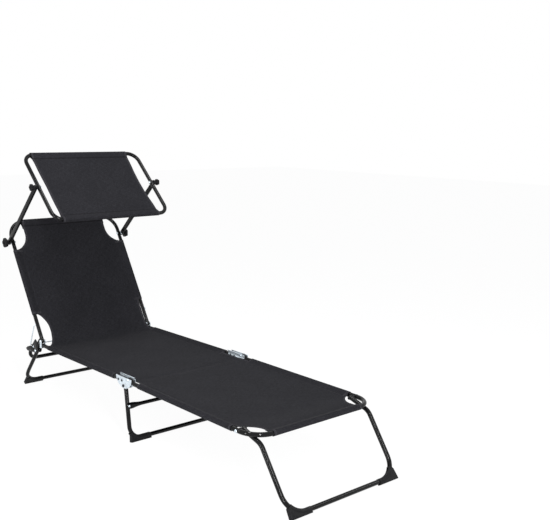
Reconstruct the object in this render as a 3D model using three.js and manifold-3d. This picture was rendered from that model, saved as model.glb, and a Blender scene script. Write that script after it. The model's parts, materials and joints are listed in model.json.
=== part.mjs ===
// Folding sun lounger with a tilting canopy, in millimetres, +Z up, standing on z = 0.
// X runs across the lounger and Y along it: the feet lie towards -Y, the head towards +Y.
// While it is built, y = 0 is the middle hinge. At the end the lounger is centred on its length.
import * as THREE from 'three';
import { mergeVertices } from 'three/addons/utils/BufferGeometryUtils.js';
import Module from 'manifold-3d';

const wasm = await Module();
wasm.setup();

// Stock and clearances
const tubeDiameter = 16;
const tubeRadius = tubeDiameter / 2;
const frameHalfWidth = 270;
const touchGap = 0.4;
const plateThickness = 1.6;
const ratchetThickness = 3;
const clothThickness = 1.4;
const sleeveGap = 0.6;
const cutOverrun = 40;

// Middle hinge, with heights over the floor
const midHingeHeight = 226;
const seatTubeStart = 2;
const hingePlateHalfLength = 50;
const hingePlateCentre = 5;
const hingePlateTop = 241;
const hingePlateDepth = 42;
const hingeLipWidth = 4;
const seatRivetNear = 17;
const seatRivetFar = 40;

// Seat section and its rear end
const rearHingeDistance = 636.5;
const rearTubeHeight = 219;
const rearBendSetback = 12;
const rearSlopeAngle = THREE.MathUtils.degToRad(19.5);
const rearBendRadius = 60;
const dropBendRadius = 35;
const dropBendDistance = 741;
const lowBarDistance = 769;
const lowBarDrop = 87.3;
const lowBarCornerRadius = 38;

// Foot section
const footPinDistance = 22;
const footPinHeight = 236;
const footCrankDistance = 50;
const footCrankRadius = 30;
const footLength = 693;
const footEndHeight = 225;
const footCornerRadius = 75;

// Backrest, hinged over the seat tube
const backPinRise = 17.2;
const backAngle = THREE.MathUtils.degToRad(58.9);
const backLength = 548;
const backCornerRadius = 71;
const bailHookDistance = 78;
const canopyBoltDistance = 457;
const clevisWidth = 15;

// Bail wire and the teeth that hold it
const bailDiameter = 4.5;
const bailRadius = bailDiameter / 2;
const bailHoleDepth = 10;
const bailLength = 107;
const bailAngle = THREE.MathUtils.degToRad(-66);
const bailTurnShare = -1.4;
const bailSideGap = 4.6;
const bailBendRadius = 7;
const toothClearance = 0.7;
const toothHeight = 6;
const toothHalfWidth = 4;
const toothRecline = THREE.MathUtils.degToRad(4);
const notchReclines = [0, 15, 30].map(THREE.MathUtils.degToRad);
const ratchetFront = 655;
const ratchetBack = 768;
const ratchetCrestDistance = 685;
const ratchetCrestRise = 19;
const ratchetFootDrop = 47;
const ratchetRivetDistance = 700;
const pinLobeRadius = 11;

// Legs
const frontLegInset = 24;
const frontPinFromEnd = 81;
const frontKneeReach = 80;
const frontKneeDrop = 24.5;
const frontKneeRadius = 45;
const frontBarReach = 211.5;
const frontCornerRadius = 68;
const legBarHeight = 13;
const midPinDistance = 7.4;
const midPinHeight = 207.5;
const midBarDistance = 34.5;
const midKneeHeight = 188;
const midKneeRadius = 120;
const midFootSplay = 9;
const midCornerRadius = 45;
const stretcherHeight = 134;
const stretcherDiameter = 14;
const stretcherFlatThickness = 4;
const stretcherFlatHeight = 24;
const stretcherFlatLength = 23;
const stretcherEndInset = 3;
const rearPinDistance = 683.5;
const rearPinDrop = 31.7;
const rearKneeDistance = 778;
const rearKneeHeight = 74;
const rearKneeRadius = 60;
const rearBarDistance = 818;
const rearCornerRadius = 60;

// Foot pads, drawn in the plane of their leg
const padReach = 88;
const padSideHeight = 24;
const padSideInset = 4;
const padUnder = 12.5;
const padWall = 2;
const padHalfThickness = 8;
const padSlotHalfWidth = 3.5;

// Canopy and its arms
const canopyPivotDistance = 611.5;
const canopyPivotHeight = 878.5;
const canopyTubeOutset = 4;
const canopyLength = 348;
const canopyAngle = THREE.MathUtils.degToRad(43.3);
const canopyCornerRadius = 45;
const armWidth = 20;
const armThickness = 9;
const armSideGap = 0.8;

// Cloth covers
const coverSag = 7;
const canopySag = 5;
const coverFadeLength = 90;
const coverEndGap = 1.5;
const hingeNotchLength = 76;
const hingeNotchDepth = 16;
const footCutLength = 103;
const footCutWidth = 74;
const backCutLength = 130;
const backCutWidth = 73;
const hingeCutBack = 120;
const hingeCutSeat = 55;
const hingeCutWidth = 48;
const leftHingeCutWidth = 16;
const rearLift = 13;
const rearLiftLength = 45;
const coverStartOverHinge = 4;
const cutCurveShare = 0.3;
const cutSideShare = 0.73;
const slantCurveShare = 1 / 3;
const hingeCutFullnessShare = 0.15;

// Pins, rivets and knobs
const pinRadius = 3;
const pinHeadRadius = 6;
const pinHeadThickness = 3;
const spacerRadius = 7;
const rivetRadius = 2.5;
const rivetHeadRadius = 4.5;
const rivetHeadThickness = 1.4;
const holeGap = 0.35;
const knobRadius = 21;
const smallKnobRadius = 14;
const knobLobes = 5;
const knobLobeShare = 0.16;
const knobThickness = 12;
const knobHubRadius = 8;
const knobHubLength = 7;
const knobCapThickness = 5;

// Fineness of the round shapes
const tubeSides = 10;
const sleeveSides = 12;
const wireSides = 8;
const pinSides = 8;
const arcSteps = 6;
const knobSteps = 20;
const bendStep = Math.PI / 10;
const panelColumns = 10;
const panelRows = 12;

// Worked out from the sizes above
const sleeveBore = tubeRadius + sleeveGap;
const sleeveRadius = sleeveBore + clothThickness;
const cheekInnerFace = frameHalfWidth - tubeRadius - touchGap;
const cheekOuterFace = frameHalfWidth + tubeRadius + touchGap;
const frontLegHalfWidth = frameHalfWidth - frontLegInset;
const midFootHalfWidth = frameHalfWidth + midFootSplay;
const canopyHalfWidth = frameHalfWidth + canopyTubeOutset;
const frontPinDistance = footLength - frontPinFromEnd;
const frontBarDistance = frontPinDistance + frontBarReach;
const lowBarHeight = rearTubeHeight - lowBarDrop;
const backPinHeight = rearTubeHeight + backPinRise;
const ratchetCrestHeight = rearTubeHeight + ratchetCrestRise;
const ratchetFootHeight = rearTubeHeight - ratchetFootDrop;
const rearPinHeight = rearTubeHeight - rearPinDrop;
const midPin = { y: midPinDistance, z: midPinHeight };
const footPin = { y: -footPinDistance, z: footPinHeight };
const frontPinShare = (frontPinDistance - footCrankDistance) / (footLength - footCrankDistance);
const frontPin = {
  y: -frontPinDistance,
  z: THREE.MathUtils.lerp(midHingeHeight, footEndHeight, frontPinShare),
};
const rearPin = { y: rearPinDistance, z: rearPinHeight };
const backPin = { y: rearHingeDistance, z: backPinHeight };
const rearBendDistance = rearHingeDistance + rearBendSetback;

const finishes = {
  blackPaint: { color: 0x141416, metalness: 0.1, roughness: 0.35 },
  zinc: { color: 0xc4ccd2, metalness: 0.9, roughness: 0.35 },
  blackPlastic: { color: 0x1b1b1d, metalness: 0, roughness: 0.6 },
  cloth: { color: 0x2c2b30, metalness: 0, roughness: 0.9 },
};

const lounger = new THREE.Group();

function at(x, y, z) {
  return new THREE.Vector3(x, y, z);
}

// A place on the line that leaves a pin at an angle, in (y, z)
function along(pin, angle, distance, offset = 0) {
  return {
    y: pin.y + distance * Math.cos(angle) - offset * Math.sin(angle),
    z: pin.z + distance * Math.sin(angle) + offset * Math.cos(angle),
  };
}

function angleBetween(from, to) {
  return Math.atan2(to.z - from.z, to.y - from.y);
}

function seatSlopeHeight(y) {
  return rearTubeHeight - (y - rearBendDistance) * Math.tan(rearSlopeAngle);
}

// Solids

function toSolid(geometry) {
  const bare = geometry.clone();
  bare.deleteAttribute('normal');
  bare.deleteAttribute('uv');
  const merged = mergeVertices(bare);
  return new wasm.Manifold(new wasm.Mesh({
    numProp: 3,
    vertProperties: new Float32Array(merged.attributes.position.array),
    triVerts: new Uint32Array(merged.index.array),
  }));
}

function toGeometry(solid) {
  const mesh = solid.getMesh();
  const geometry = new THREE.BufferGeometry();
  geometry.setAttribute('position', new THREE.BufferAttribute(mesh.vertProperties, mesh.numProp));
  geometry.setIndex(new THREE.BufferAttribute(mesh.triVerts, 1));
  return geometry;
}

function join(...geometries) {
  return toGeometry(geometries.map(toSolid).reduce((whole, next) => whole.add(next)));
}

function cut(geometry, ...tools) {
  return toGeometry(tools.map(toSolid).reduce((whole, tool) => whole.subtract(tool), toSolid(geometry)));
}

function mirrored(geometry) {
  const copy = geometry.index ? geometry.toNonIndexed() : geometry.clone();
  copy.deleteAttribute('normal');
  copy.deleteAttribute('uv');
  copy.scale(-1, 1, 1);
  const places = copy.attributes.position;
  const first = new THREE.Vector3();
  const second = new THREE.Vector3();
  for (let corner = 0; corner < places.count; corner += 3) {
    first.fromBufferAttribute(places, corner);
    second.fromBufferAttribute(places, corner + 1);
    places.setXYZ(corner, second.x, second.y, second.z);
    places.setXYZ(corner + 1, first.x, first.y, first.z);
  }
  return mergeVertices(copy);
}

function withMirror(geometry) {
  return [geometry, mirrored(geometry)];
}

function add(name, geometry, finish) {
  const mesh = new THREE.Mesh(geometry, new THREE.MeshStandardMaterial(finishes[finish]));
  mesh.name = name;
  lounger.add(mesh);
}

// The geometry is the one at +X, on the left hand of someone who lies on the lounger
function addPair(name, geometry, finish) {
  add(`${name}_left`, geometry, finish);
  add(`${name}_right`, mirrored(geometry), finish);
}

// Bent tubes: straight stretches with round bends, with rings in the bends only

class TubeRoute extends THREE.Curve {
  constructor(corners) {
    super();
    this.stations = [];
    corners.forEach((_, index) => this.addCorner(corners[index - 1], corners[index], corners[index + 1]));
  }

  addCorner(before, { place, bend }, after) {
    if (!before || !after) {
      const direction = before ? place.clone().sub(before.place) : after.place.clone().sub(place);
      this.stations.push({ place: place.clone(), direction: direction.normalize() });
      return;
    }
    const into = place.clone().sub(before.place).normalize();
    const outOf = after.place.clone().sub(place).normalize();
    const turn = into.angleTo(outOf);
    const inward = outOf.clone().addScaledVector(into, -into.dot(outOf)).normalize();
    const start = place.clone().addScaledVector(into, -bend * Math.tan(turn / 2));
    const centre = start.addScaledVector(inward, bend);
    const steps = Math.max(2, Math.ceil(turn / bendStep));
    for (let step = 0; step <= steps; step += 1) {
      const angle = turn * step / steps;
      this.stations.push({
        place: centre.clone()
          .addScaledVector(inward, -bend * Math.cos(angle))
          .addScaledVector(into, bend * Math.sin(angle)),
        direction: into.clone().multiplyScalar(Math.cos(angle)).addScaledVector(inward, Math.sin(angle)),
      });
    }
  }

  getPoint(share, target = new THREE.Vector3()) {
    const reach = share * (this.stations.length - 1);
    const index = Math.min(Math.floor(reach), this.stations.length - 2);
    return target.lerpVectors(this.stations[index].place, this.stations[index + 1].place, reach - index);
  }

  getSpacedPoints() {
    return this.stations.map((station) => station.place);
  }

  getTangentAt(share, target = new THREE.Vector3()) {
    return target.copy(this.stations[Math.round(share * (this.stations.length - 1))].direction);
  }
}

function tube(corners, radius = tubeRadius, sides = tubeSides) {
  const route = new TubeRoute(corners);
  const section = new THREE.Shape().absarc(0, 0, radius, 0, 2 * Math.PI);
  return new THREE.ExtrudeGeometry(section, {
    steps: route.stations.length - 1,
    extrudePath: route,
    curveSegments: sides / 2,
    bevelEnabled: false,
  });
}

// A symmetric U: its side at +X, up to and with the corner where the cross bar starts
function uRoute(side) {
  const other = side.map(({ place, bend }) => ({ place: at(-place.x, place.y, place.z), bend }));
  return [...side, ...other.reverse()];
}

function corner(x, place, bend) {
  return { place: at(x, place.y, place.z), bend };
}

// Pieces that lie across the lounger

function crossBar(radius, fromX, toX, pin, sides = pinSides) {
  return new THREE.CylinderGeometry(radius, radius, toX - fromX, sides)
    .rotateZ(Math.PI / 2)
    .translate((fromX + toX) / 2, pin.y, pin.z);
}

function crossHole(radius, pin, halfWidth) {
  const reach = tubeRadius + 2 * plateThickness + 2 * ratchetThickness;
  return crossBar(radius + holeGap, halfWidth - reach, halfWidth + reach, pin);
}

// A shape drawn in (y, z), with its thickness across the lounger from one face outwards
function sidePlate(shape, fromX, thickness) {
  const turned = new THREE.Matrix4().makeBasis(at(0, 1, 0), at(0, 0, 1), at(1, 0, 0));
  return new THREE.ExtrudeGeometry(shape, { depth: thickness, bevelEnabled: false, curveSegments: arcSteps })
    .applyMatrix4(turned)
    .translate(fromX, 0, 0);
}

// A tube's end becomes a half round about its pin, with the tube leaving it at an angle
function roundedAtPin(geometry, halfWidth, pin, tubeAngle) {
  const reach = 2 * tubeDiameter;
  const beyond = new THREE.BoxGeometry(reach, reach, reach)
    .translate(0, -reach / 2, 0)
    .rotateX(tubeAngle)
    .translate(halfWidth, pin.y, pin.z);
  const round = crossBar(tubeRadius, halfWidth - reach, halfWidth + reach, pin, 2 * tubeSides);
  return cut(geometry, ...withMirror(cut(beyond, round)));
}

// Fasteners lie along X, each as one solid with a head at its ends
function fastener({ radius, headRadius, headThickness, from, to, pin, collars = [], plainEnd = false }) {
  const profile = [
    [0, from - headThickness],
    [headRadius, from - headThickness],
    [headRadius, from],
    [radius, from],
  ];
  collars.forEach((collar) => profile.push(
    [radius, collar.from],
    [collar.radius, collar.from],
    [collar.radius, collar.to],
    [radius, collar.to],
  ));
  if (plainEnd) {
    profile.push([radius, to], [0, to]);
  } else {
    profile.push([radius, to], [headRadius, to], [headRadius, to + headThickness], [0, to + headThickness]);
  }
  const points = profile.map(([across, reach]) => new THREE.Vector2(across, reach));
  return new THREE.LatheGeometry(points, pinSides).rotateZ(-Math.PI / 2).translate(0, pin.y, pin.z);
}

function rivet(pin, from, to) {
  return fastener({
    radius: rivetRadius,
    headRadius: rivetHeadRadius,
    headThickness: rivetHeadThickness,
    from: from - touchGap,
    to: to + touchGap,
    pin,
  });
}

function hingePin(pin, from, to, options = {}) {
  return fastener({
    radius: pinRadius,
    headRadius: pinHeadRadius,
    headThickness: pinHeadThickness,
    from: from - touchGap,
    to: to + touchGap,
    pin,
    ...options,
  });
}

// Cloth: a thin panel in its own plane, +Y along it, with sleeves for the tubes

function clothPanel(halfWidth, fromY, toY, heightAt) {
  const panel = new THREE.BoxGeometry(2 * halfWidth, toY - fromY, clothThickness, panelColumns, panelRows)
    .translate(0, (fromY + toY) / 2, 0);
  const places = panel.attributes.position;
  for (let index = 0; index < places.count; index += 1) {
    const height = heightAt(places.getX(index) / halfWidth, places.getY(index));
    places.setZ(index, places.getZ(index) + height);
  }
  return panel;
}

function alongBar(radius, x, fromY, toY) {
  return new THREE.CylinderGeometry(radius, radius, toY - fromY, sleeveSides)
    .translate(x, (fromY + toY) / 2, 0);
}

// An outline drawn in the plane of a cover becomes a tool that cuts right through it
function throughCut(points) {
  return new THREE.ExtrudeGeometry(new THREE.Shape(points), { depth: 2 * cutOverrun, bevelEnabled: false })
    .translate(0, 0, -cutOverrun);
}

// The rounded cut-out that leaves a bent tube bare at a cover's corner, in the +X half.
// Fullness is 0 for a straight slant and 1 for a curve that leaves both edges squarely.
function cornerCut(innerX, startY, endY, fullness = 1) {
  const outerX = frameHalfWidth + cutOverrun;
  const beyondY = endY + Math.sign(endY - startY) * cutOverrun;
  const start = new THREE.Vector2(frameHalfWidth, startY);
  const end = new THREE.Vector2(innerX, endY);
  const fullStartX = THREE.MathUtils.lerp(frameHalfWidth, innerX, cutSideShare);
  const fullStart = new THREE.Vector2(fullStartX, startY);
  const fullEnd = new THREE.Vector2(innerX, THREE.MathUtils.lerp(startY, endY, cutCurveShare));
  const edge = new THREE.CubicBezierCurve(
    start,
    start.clone().lerp(end, slantCurveShare).lerp(fullStart, fullness),
    end.clone().lerp(start, slantCurveShare).lerp(fullEnd, fullness),
    end,
  ).getPoints(arcSteps);
  return throughCut([
    new THREE.Vector2(outerX, startY),
    ...edge,
    new THREE.Vector2(innerX, beyondY),
    new THREE.Vector2(outerX, beyondY),
  ]);
}

function sleevedCover({ panel, sleeves, bores, cuts }) {
  return cut(join(panel, ...sleeves), ...bores, ...cuts);
}

// Local +Y runs from one (y, z) place at an angle; local X stays across the lounger
function laidFrom(geometry, pin, angle) {
  return geometry.clone().rotateX(angle).translate(0, pin.y, pin.z);
}

// Seat frame: one tube, down to the low bar behind the rear legs

const rearBend = { y: rearBendDistance, z: rearTubeHeight };
const dropBend = { y: dropBendDistance, z: seatSlopeHeight(dropBendDistance) };
const lowBar = { y: lowBarDistance, z: lowBarHeight };
const seatStart = { y: seatTubeStart, z: midHingeHeight };
const seatAngle = angleBetween(seatStart, rearBend);

function seatTubeAt(y) {
  const height = y < rearBendDistance
    ? midHingeHeight + (y - seatTubeStart) * Math.tan(seatAngle)
    : seatSlopeHeight(y);
  return { y, z: height };
}

const clevisRivetPlace = seatTubeAt(rearHingeDistance);
const ratchetRivetPlace = seatTubeAt(ratchetRivetDistance);
const seatRivetPlaces = [seatTubeAt(seatRivetNear), seatTubeAt(seatRivetFar)];

function seatFrame() {
  const frame = tube(uRoute([
    corner(frameHalfWidth, seatStart),
    corner(frameHalfWidth, rearBend, rearBendRadius),
    corner(frameHalfWidth, dropBend, dropBendRadius),
    corner(frameHalfWidth, lowBar, lowBarCornerRadius),
  ]));
  const holes = [...seatRivetPlaces, clevisRivetPlace, ratchetRivetPlace]
    .flatMap((place) => withMirror(crossHole(rivetRadius, place, frameHalfWidth)));
  return cut(frame, ...holes);
}

add('seat_frame', seatFrame(), 'blackPaint');

// Middle hinge: two cheeks on each side of the tubes

function hingePlateShape() {
  return new THREE.Shape()
    .absellipse(hingePlateCentre, hingePlateTop, hingePlateHalfLength, hingePlateDepth, Math.PI, 2 * Math.PI);
}

function drilledCheek(cheek) {
  return cut(
    cheek,
    ...seatRivetPlaces.map((place) => crossHole(rivetRadius, place, frameHalfWidth)),
    crossHole(pinRadius, midPin, frameHalfWidth),
    crossHole(pinRadius, footPin, frameHalfWidth),
  );
}

function innerHingeCheek() {
  const fromX = cheekInnerFace - plateThickness;
  const lip = new THREE.BoxGeometry(hingeLipWidth + plateThickness, 2 * hingePlateHalfLength, plateThickness)
    .translate(
      fromX + (plateThickness - hingeLipWidth) / 2,
      hingePlateCentre,
      hingePlateTop - plateThickness / 2,
    );
  const plate = sidePlate(hingePlateShape(), fromX, plateThickness);
  const trim = sidePlate(hingePlateShape(), fromX - hingeLipWidth, hingeLipWidth + plateThickness);
  const boltHead = crossBar(pinHeadRadius + touchGap, fromX - hingeLipWidth - cutOverrun, fromX, footPin);
  const lipInside = cut(toGeometry(toSolid(lip).intersect(toSolid(trim))), boltHead);
  return drilledCheek(join(plate, lipInside));
}

const outerHingeCheek = drilledCheek(sidePlate(hingePlateShape(), cheekOuterFace, plateThickness));
addPair('hinge_plate_outer', outerHingeCheek, 'zinc');
addPair('hinge_plate_inner', innerHingeCheek(), 'zinc');

const cheekSpan = [cheekInnerFace - plateThickness, cheekOuterFace + plateThickness];
addPair('seat_rivet_front', rivet(seatRivetPlaces[0], ...cheekSpan), 'zinc');
addPair('seat_rivet_back', rivet(seatRivetPlaces[1], ...cheekSpan), 'zinc');
addPair('mid_leg_pivot', hingePin(midPin, ...cheekSpan), 'zinc');
addPair('foot_hinge_bolt', hingePin(footPin, ...cheekSpan), 'zinc');

// Rear hinge: a saddle round the seat tube that holds the end of the back tube

function rearClevis() {
  const halfWidth = clevisWidth / 2;
  const bottom = clevisRivetPlace.z - tubeRadius - 2 * touchGap - plateThickness;
  const shape = new THREE.Shape()
    .moveTo(backPin.y - halfWidth, bottom)
    .lineTo(backPin.y + halfWidth, bottom)
    .lineTo(backPin.y + halfWidth, backPin.z)
    .absarc(backPin.y, backPin.z, halfWidth, 0, Math.PI);
  const width = cheekSpan[1] - cheekSpan[0];
  const block = sidePlate(shape, cheekSpan[0], width);
  const channelHeight = backPin.z - bottom + cutOverrun;
  const channel = new THREE.BoxGeometry(cheekOuterFace - cheekInnerFace, 2 * clevisWidth, channelHeight)
    .translate(frameHalfWidth, backPin.y, bottom + plateThickness + channelHeight / 2);
  return cut(
    block,
    channel,
    crossHole(pinRadius, backPin, frameHalfWidth),
    crossHole(rivetRadius, clevisRivetPlace, frameHalfWidth),
  );
}

addPair('rear_hinge_clevis', rearClevis(), 'zinc');
addPair('clevis_rivet', rivet(clevisRivetPlace, ...cheekSpan), 'zinc');
addPair('back_hinge_bolt', hingePin(backPin, ...cheekSpan), 'zinc');

// Bail: a wire that hangs from the back tubes and drops between the teeth

function bailHookAt(recline) {
  return along(backPin, backAngle - recline, bailHookDistance);
}

function bailBarAt(recline) {
  const turned = bailAngle - recline * (1 + bailTurnShare);
  return along(bailHookAt(recline), turned, bailLength);
}

function bail() {
  const outside = frameHalfWidth + tubeRadius + bailSideGap + bailRadius;
  return tube(uRoute([
    corner(frameHalfWidth + tubeRadius - bailHoleDepth + touchGap, bailHookAt(0)),
    corner(outside, bailHookAt(0), bailBendRadius),
    corner(outside, bailBarAt(0), bailBendRadius),
  ]), bailRadius, wireSides);
}

add('bail', bail(), 'zinc');

// Toothed plates on both sides of the rear leg

function ratchetShape() {
  const reach = bailRadius + toothClearance;
  const teeth = notchReclines.flatMap((recline) => {
    const wire = bailBarAt(recline);
    const tip = bailBarAt(recline + toothRecline);
    return [
      [wire.y - toothHalfWidth, wire.z - reach],
      [wire.y, wire.z - reach - toothHeight],
      [tip.y - toothClearance, tip.z - reach - toothClearance],
      [tip.y + toothClearance, tip.z - reach - toothClearance],
    ];
  });
  const lobeSide = rearPin.z - pinLobeRadius;
  const outline = [
    [ratchetFront, clevisRivetPlace.z],
    [ratchetCrestDistance - toothHalfWidth, ratchetCrestHeight],
    [ratchetCrestDistance + toothHalfWidth, ratchetCrestHeight - toothHeight],
    ...teeth,
    [ratchetBack, ratchetFootHeight + toothHeight],
    [ratchetBack - toothHeight, ratchetFootHeight],
    [dropBend.y, ratchetFootHeight],
    [ratchetRivetPlace.y + pinLobeRadius, lobeSide],
    [rearPin.y, lobeSide],
    [rearPin.y - pinLobeRadius, rearPin.z - toothHeight],
  ];
  return new THREE.Shape(outline.map(([y, z]) => new THREE.Vector2(y, z)));
}

function ratchetPlate(fromX) {
  return cut(
    sidePlate(ratchetShape(), fromX, ratchetThickness),
    crossHole(rivetRadius, ratchetRivetPlace, frameHalfWidth),
    crossHole(pinRadius, rearPin, frameHalfWidth),
  );
}

const ratchetSpan = [cheekInnerFace - ratchetThickness, cheekOuterFace + ratchetThickness];
addPair('ratchet_plate_outer', ratchetPlate(cheekOuterFace), 'blackPaint');
addPair('ratchet_plate_inner', ratchetPlate(cheekInnerFace - ratchetThickness), 'blackPaint');
addPair('ratchet_rivet', rivet(ratchetRivetPlace, ...ratchetSpan), 'zinc');
addPair('rear_leg_pivot', hingePin(rearPin, ...ratchetSpan), 'zinc');

// Foot frame, cranked down from its hinge bolts

const footCrank = { y: -footCrankDistance, z: midHingeHeight };
const footBar = { y: -footLength, z: footEndHeight };
const footPinAngle = angleBetween(footPin, footCrank);

function footFrame() {
  const frame = tube(uRoute([
    corner(frameHalfWidth, along(footPin, footPinAngle, -tubeRadius)),
    corner(frameHalfWidth, footCrank, footCrankRadius),
    corner(frameHalfWidth, footBar, footCornerRadius),
  ]));
  const rounded = roundedAtPin(frame, frameHalfWidth, footPin, footPinAngle);
  return cut(
    rounded,
    ...withMirror(crossHole(pinRadius, footPin, frameHalfWidth)),
    ...withMirror(crossHole(pinRadius, frontPin, frameHalfWidth)),
  );
}

add('foot_frame', footFrame(), 'blackPaint');

// Backrest frame

const backBar = along(backPin, backAngle, backLength);
const canopyBolt = along(backPin, backAngle, canopyBoltDistance);

function backFrame() {
  const frame = tube(uRoute([
    corner(frameHalfWidth, along(backPin, backAngle, -tubeRadius)),
    corner(frameHalfWidth, backBar, backCornerRadius),
  ]));
  const rounded = roundedAtPin(frame, frameHalfWidth, backPin, backAngle);
  const outerFace = frameHalfWidth + tubeRadius;
  const holeEnd = outerFace - bailHoleDepth;
  const hookHole = crossBar(bailRadius + holeGap, holeEnd, outerFace + tubeRadius, bailHookAt(0));
  return cut(
    rounded,
    ...withMirror(crossHole(pinRadius, backPin, frameHalfWidth)),
    ...withMirror(crossHole(pinRadius, canopyBolt, frameHalfWidth)),
    ...withMirror(hookHole),
  );
}

add('back_frame', backFrame(), 'blackPaint');

// Canopy frame: one ring, closed by a butt joint in the middle of its upper bar

const canopyPivot = { y: canopyPivotDistance, z: canopyPivotHeight };
const canopyTop = along(canopyPivot, canopyAngle, canopyLength / 2);
const canopyBottom = along(canopyPivot, canopyAngle, -canopyLength / 2);

function canopyFrame() {
  const side = [
    corner(touchGap / 2, canopyTop),
    corner(canopyHalfWidth, canopyTop, canopyCornerRadius),
    corner(canopyHalfWidth, canopyBottom, canopyCornerRadius),
  ];
  return cut(tube(uRoute(side)), ...withMirror(crossHole(pinRadius, canopyPivot, canopyHalfWidth)));
}

add('canopy_frame', canopyFrame(), 'blackPaint');

// Canopy arms, flat-sided, outside the tubes

const armInnerFace = canopyHalfWidth + tubeRadius + armSideGap;
const armOuterFace = armInnerFace + armThickness;

function canopyArm() {
  const end = armWidth / 2;
  const length = Math.hypot(canopyPivot.y - canopyBolt.y, canopyPivot.z - canopyBolt.z);
  const slot = new THREE.Shape()
    .absarc(0, 0, end, Math.PI / 2, 3 * Math.PI / 2)
    .absarc(length, 0, end, -Math.PI / 2, Math.PI / 2);
  const arm = sidePlate(slot, armInnerFace, armThickness)
    .rotateX(angleBetween(canopyBolt, canopyPivot))
    .translate(0, canopyBolt.y, canopyBolt.z);
  return cut(
    arm,
    crossHole(pinRadius, canopyBolt, armInnerFace),
    crossHole(pinRadius, canopyPivot, armInnerFace),
  );
}

// A star knob screwed on a bolt's end, with a closed outer face
function starKnob(radius, pin) {
  const hubFace = armOuterFace + touchGap;
  const discFace = hubFace + knobHubLength;
  const points = [];
  for (let step = 0; step < knobSteps; step += 1) {
    const angle = 2 * Math.PI * step / knobSteps;
    const reach = radius * (1 - knobLobeShare * (1 - Math.cos(knobLobes * angle)) / 2);
    points.push(new THREE.Vector2(reach * Math.cos(angle), reach * Math.sin(angle)));
  }
  const star = sidePlate(new THREE.Shape(points), discFace, knobThickness).translate(0, pin.y, pin.z);
  const hub = crossBar(knobHubRadius, hubFace, discFace + knobThickness / 2, pin, sleeveSides);
  const boreEnd = discFace + knobThickness - knobCapThickness;
  const bore = crossBar(pinRadius + holeGap, hubFace - touchGap, boreEnd, pin);
  return cut(join(star, hub), bore);
}

function canopyBoltSolid(halfWidth, pin) {
  const knobEnd = armOuterFace + touchGap + knobHubLength + knobThickness - knobCapThickness;
  const spacer = {
    radius: spacerRadius,
    from: halfWidth + tubeRadius + touchGap,
    to: armInnerFace - touchGap,
  };
  return hingePin(pin, halfWidth - tubeRadius, knobEnd - 2 * touchGap, {
    plainEnd: true,
    collars: spacer.to - spacer.from > touchGap ? [spacer] : [],
  });
}

addPair('canopy_arm', canopyArm(), 'blackPaint');
addPair('lower_arm_bolt', canopyBoltSolid(frameHalfWidth, canopyBolt), 'zinc');
addPair('upper_arm_bolt', canopyBoltSolid(canopyHalfWidth, canopyPivot), 'zinc');
addPair('lower_knob', starKnob(knobRadius, canopyBolt), 'blackPlastic');
addPair('upper_knob', starKnob(smallKnobRadius, canopyPivot), 'blackPlastic');

// Legs: U-shaped tubes, each with a pad on both corners

const frontKnee = { y: frontPin.y - frontKneeReach, z: frontPin.z - frontKneeDrop };
const frontBar = { y: -frontBarDistance, z: legBarHeight };
const midBar = { y: -midBarDistance, z: legBarHeight };
const rearKnee = { y: rearKneeDistance, z: rearKneeHeight };
const rearBar = { y: rearBarDistance, z: legBarHeight };

function leg({ halfWidth, footHalfWidth, pin, knees, bar, cornerRadius }) {
  const topAngle = angleBetween(knees[0].place, pin);
  const frame = tube(uRoute([
    corner(halfWidth, along(pin, topAngle, tubeRadius)),
    ...knees,
    corner(footHalfWidth, bar, cornerRadius),
  ]));
  const rounded = roundedAtPin(frame, halfWidth, pin, topAngle + Math.PI);
  return cut(rounded, ...withMirror(crossHole(pinRadius, pin, halfWidth)));
}

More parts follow.
